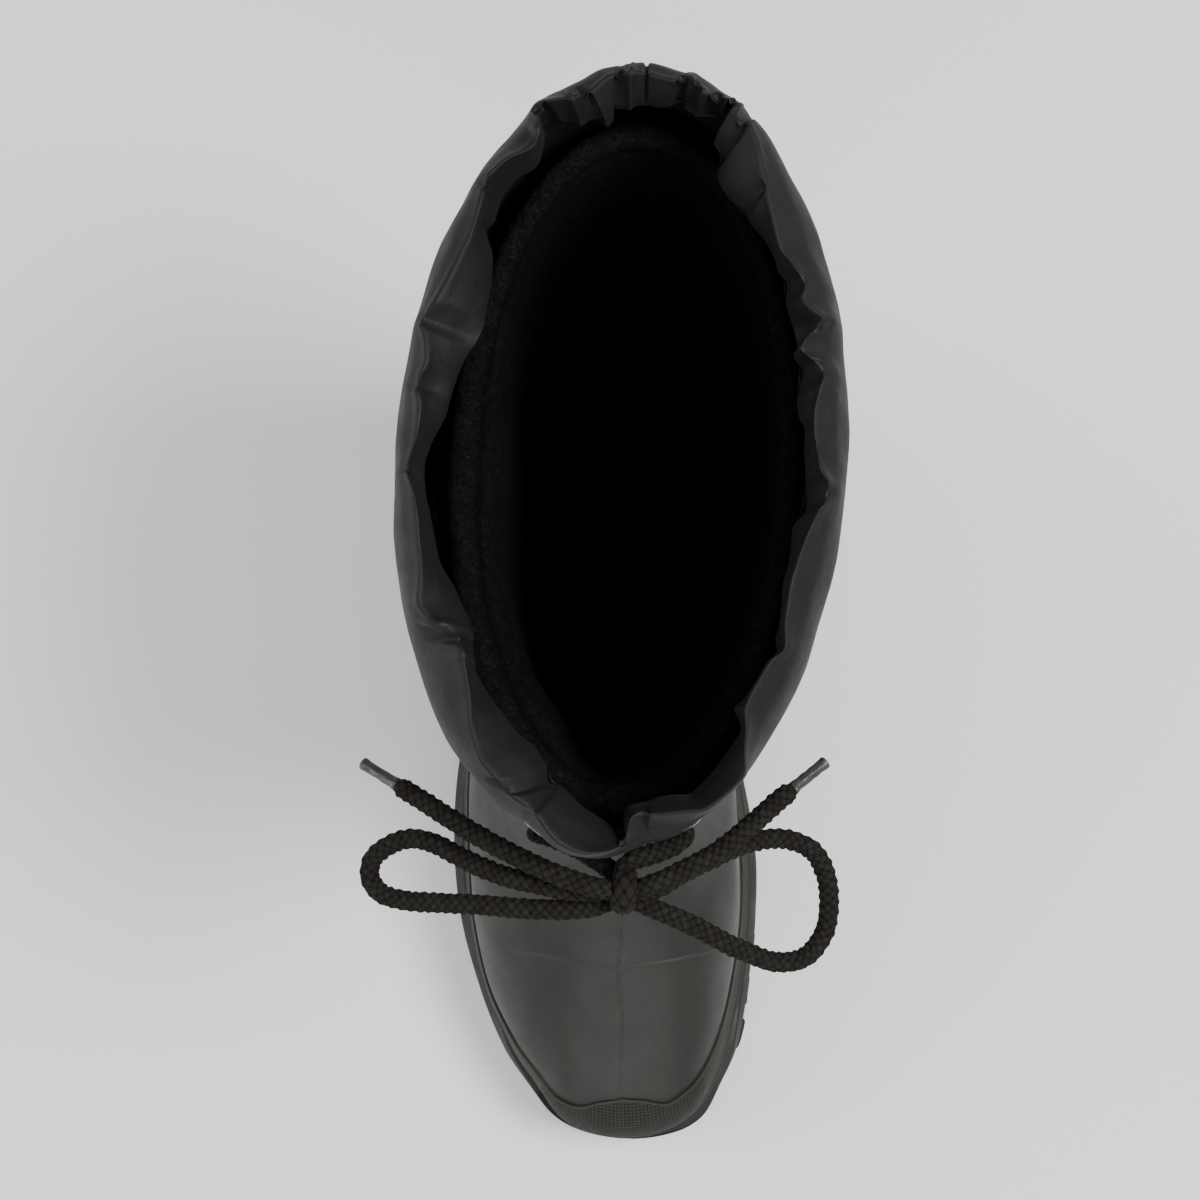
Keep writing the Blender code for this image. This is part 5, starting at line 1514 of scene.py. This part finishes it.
class BOOT_OT_cuff(Operator):
    """Nylon cuff with its puffed hem, gathered by the drawcord"""

    bl_idname = "boot.cuff"
    bl_label = "Nylon Cuff"
    bl_options = {"REGISTER", "UNDO"}

    def execute(self, context):
        """The section runs up the outer face, over the hem's crest, down to its inner edge, back under it
        and down the inner face.  Pleats are wedges with straight sides that push the cloth in or out
        along its normal, and the outer face has soft upright folds."""
        angle = np.linspace(0, TURN, CUFF_COLUMNS, endpoint=False)
        degrees = np.degrees(angle)
        turn = np.degrees(np.arccos(np.cos(angle)))
        medial, lateral = come_in(turn, GATHERS_MEDIAL), come_in(turn, GATHERS_LATERAL)
        drawn = 1 - GATHER_CUT * np.where(np.sin(angle) >= 0, medial, lateral)
        bulge = cuff_ring(angle, CUFF_OUTER[-1], drawn)
        plain = ring_point(angle, [*CUFF_OUTER[-1][:-1], 0.0, 0.0])
        step = np.roll(plain, -1, axis=0) - np.roll(plain, 1, axis=0)
        inward = unit(np.column_stack([-step[:, 1], step[:, 0], np.zeros(CUFF_COLUMNS)]))
        edge, crest = folded_table(degrees, HEM, 1), folded_table(degrees, HEM, 2)
        wave = 0.8 * waves(41, 6, 60.0, bulge)
        back = SET_BACK * bell(signed(degrees - SET_BACK_AT), SET_BACK_WIDTH)
        turned = [bulge + inward * (crest * to_crest + edge * to_edge + back * to_back + inset)[:, None]
                  + np.column_stack([np.zeros((CUFF_COLUMNS, 2)), height + lift * wave])
                  for to_crest, to_edge, to_back, inset, height, lift in HEM_TURN]
        outer = [cuff_ring(angle, row, drawn) for row in CUFF_OUTER]
        inner = [cuff_ring(angle, row, drawn) for row in CUFF_INNER]
        keys = np.stack(outer + turned + inner)
        steps = np.concatenate([np.linspace(0, 4, 21)[:-1], np.linspace(4, 12, 97)[:-1],
                                np.linspace(12, 18, 22)])
        section = between_rows(steps, keys)
        rise, crease = self.pleats(degrees, steps)
        # Painted highlights along folds at the medial front: one along the hem near its inner edge and one
        # across it.
        flap = smooth((degrees - 6.2) / 1.0) * smooth((37 - degrees) / 4)
        crease = crease + 0.9 * bell(steps - 10.7, 0.30)[:, None] * flap[None, :]
        flap_side = (smooth((steps - 4.5) / 1.0) * smooth((11.4 - steps) / 0.5))[:, None]
        crease = crease + 0.7 * (bell(degrees - 7.0, 0.55)[None, :] * flap_side)
        normal = grid_normals(section)
        outer_face = smooth((3.7 - steps) / 1.3)[:, None] * smooth(steps / 1.0)[:, None]
        flat = sum(bell(signed(degrees - place), FLAT_AT_EYELETS) for place in EYELET_ANGLES.values())
        folds = (self.upright_folds(degrees) * (1 - flat))[None, :] * outer_face
        hem = smooth((steps - 3.6) / 1.2) * smooth((12.5 - steps) / 1.0)
        crumple = hem[:, None] * (0.05 * waves(43, 14, 8.0, section) + 0.22 * waves(44, 10, 26.0, section))
        place, width, seam_depth = BACK_SEAM
        seam = bell(degrees - place, width)[None, :] * smooth((11.5 - steps) / 2)[:, None]
        place, width, stitch_depth = STITCHES
        stitch = bell(steps - place, width)[:, None]
        push = rise * sizes().pleat_scale + folds + crumple - seam_depth * seam - stitch_depth * stitch
        points = section + normal * push[..., None]
        run = np.concatenate([[0], np.cumsum(np.linalg.norm(np.diff(section, axis=0), axis=-1).mean(axis=1))])
        girth = np.linalg.norm(np.diff(np.vstack([bulge, bulge[:1]]), axis=0), axis=1).sum()
        uv = flat_uv(np.linspace(0, girth, CUFF_COLUMNS + 1), np.append(run, run[-1] + 1.0))
        piece = add_piece("nylon_cuff", points, nylon_finish(), along=True, uv=uv,
                          marks={"crease": np.clip(crease, 0, 1)}, sharp=70.0)
        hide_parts("cuff")
        return {"FINISHED"}

    @staticmethod
    def pleats(degrees, steps):
        """Push of the pleats, and a painted highlight along the ridges of those that stand out.  A wedge is a
        straight sided valley: one less the distance from its line over its half width, which grows from
        nothing along its length."""
        rise = np.zeros((len(steps), len(degrees)))
        crease = np.zeros_like(rise)
        for centre, lean, width, start, end, depth in PLEATS:
            share = np.clip((steps - start) / (end - start), 0, 1)[:, None]
            away = signed(degrees[None, :] - (centre + lean * share))
            steep = np.where(away * (1 if lean >= 0 else -1) > 0, 0.7, 1.4)
            half = width * (0.25 + 0.75 * share) * steep
            tent = np.clip(1 - np.sqrt((away / half) ** 2 + 0.01), 0, 1)
            ends = smooth(share * 3.0) * smooth((end + 1.4 - steps) / 1.4)[:, None]
            rise -= depth * tent * ends
            crease += bell(away, 0.18 * width) * ends * (depth < 0)
        return rise, crease

    @staticmethod
    def upright_folds(degrees):
        """Soft upright folds of the outer face: seeded sines round the cuff."""
        random = np.random.default_rng(12)
        angle = np.radians(degrees)
        out = np.zeros_like(angle)
        for count in (17, 23, 31, 38, 47):
            out += random.uniform(0.12, 0.4) * np.sin(count * angle + random.uniform(0, TURN))
        return out


STEPS_OF_BOOT = (BOOT_OT_studio, BOOT_OT_drawcord, BOOT_OT_upper, BOOT_OT_rand, BOOT_OT_sole, BOOT_OT_felt,
                 BOOT_OT_cuff)


class BOOT_PT_panel(Panel):
    """Steps of the boot, its sizes and its colours"""

    bl_idname = "BOOT_PT_panel"
    bl_label = "Rain Boot"
    bl_space_type = "VIEW_3D"
    bl_region_type = "UI"
    bl_category = "Rain Boot"

    def draw(self, context):
        """List the steps, then the sizes and colours."""
        for step in STEPS_OF_BOOT:
            self.layout.operator(step.bl_idname)
        for group in (context.scene.boot_sizes, context.scene.boot_colours):
            box = self.layout.box()
            for key in group.__annotations__:
                box.prop(group, key)


CLASSES = (BootSizes, BootColours, *STEPS_OF_BOOT, BOOT_PT_panel)


def register():
    """Add the classes and the scene's properties."""
    for item in CLASSES:
        bpy.utils.register_class(item)
    bpy.types.Scene.boot_sizes = PointerProperty(type=BootSizes)
    bpy.types.Scene.boot_colours = PointerProperty(type=BootColours)


def unregister():
    """Remove the scene's properties and the classes."""
    del bpy.types.Scene.boot_sizes, bpy.types.Scene.boot_colours
    for item in reversed(CLASSES):
        bpy.utils.unregister_class(item)


def main():
    """Make every piece in order."""
    register()
    for step in STEPS_OF_BOOT:
        group, name = step.bl_idname.split(".")
        getattr(getattr(bpy.ops, group), name)()


if __name__ == "__main__":
    main()
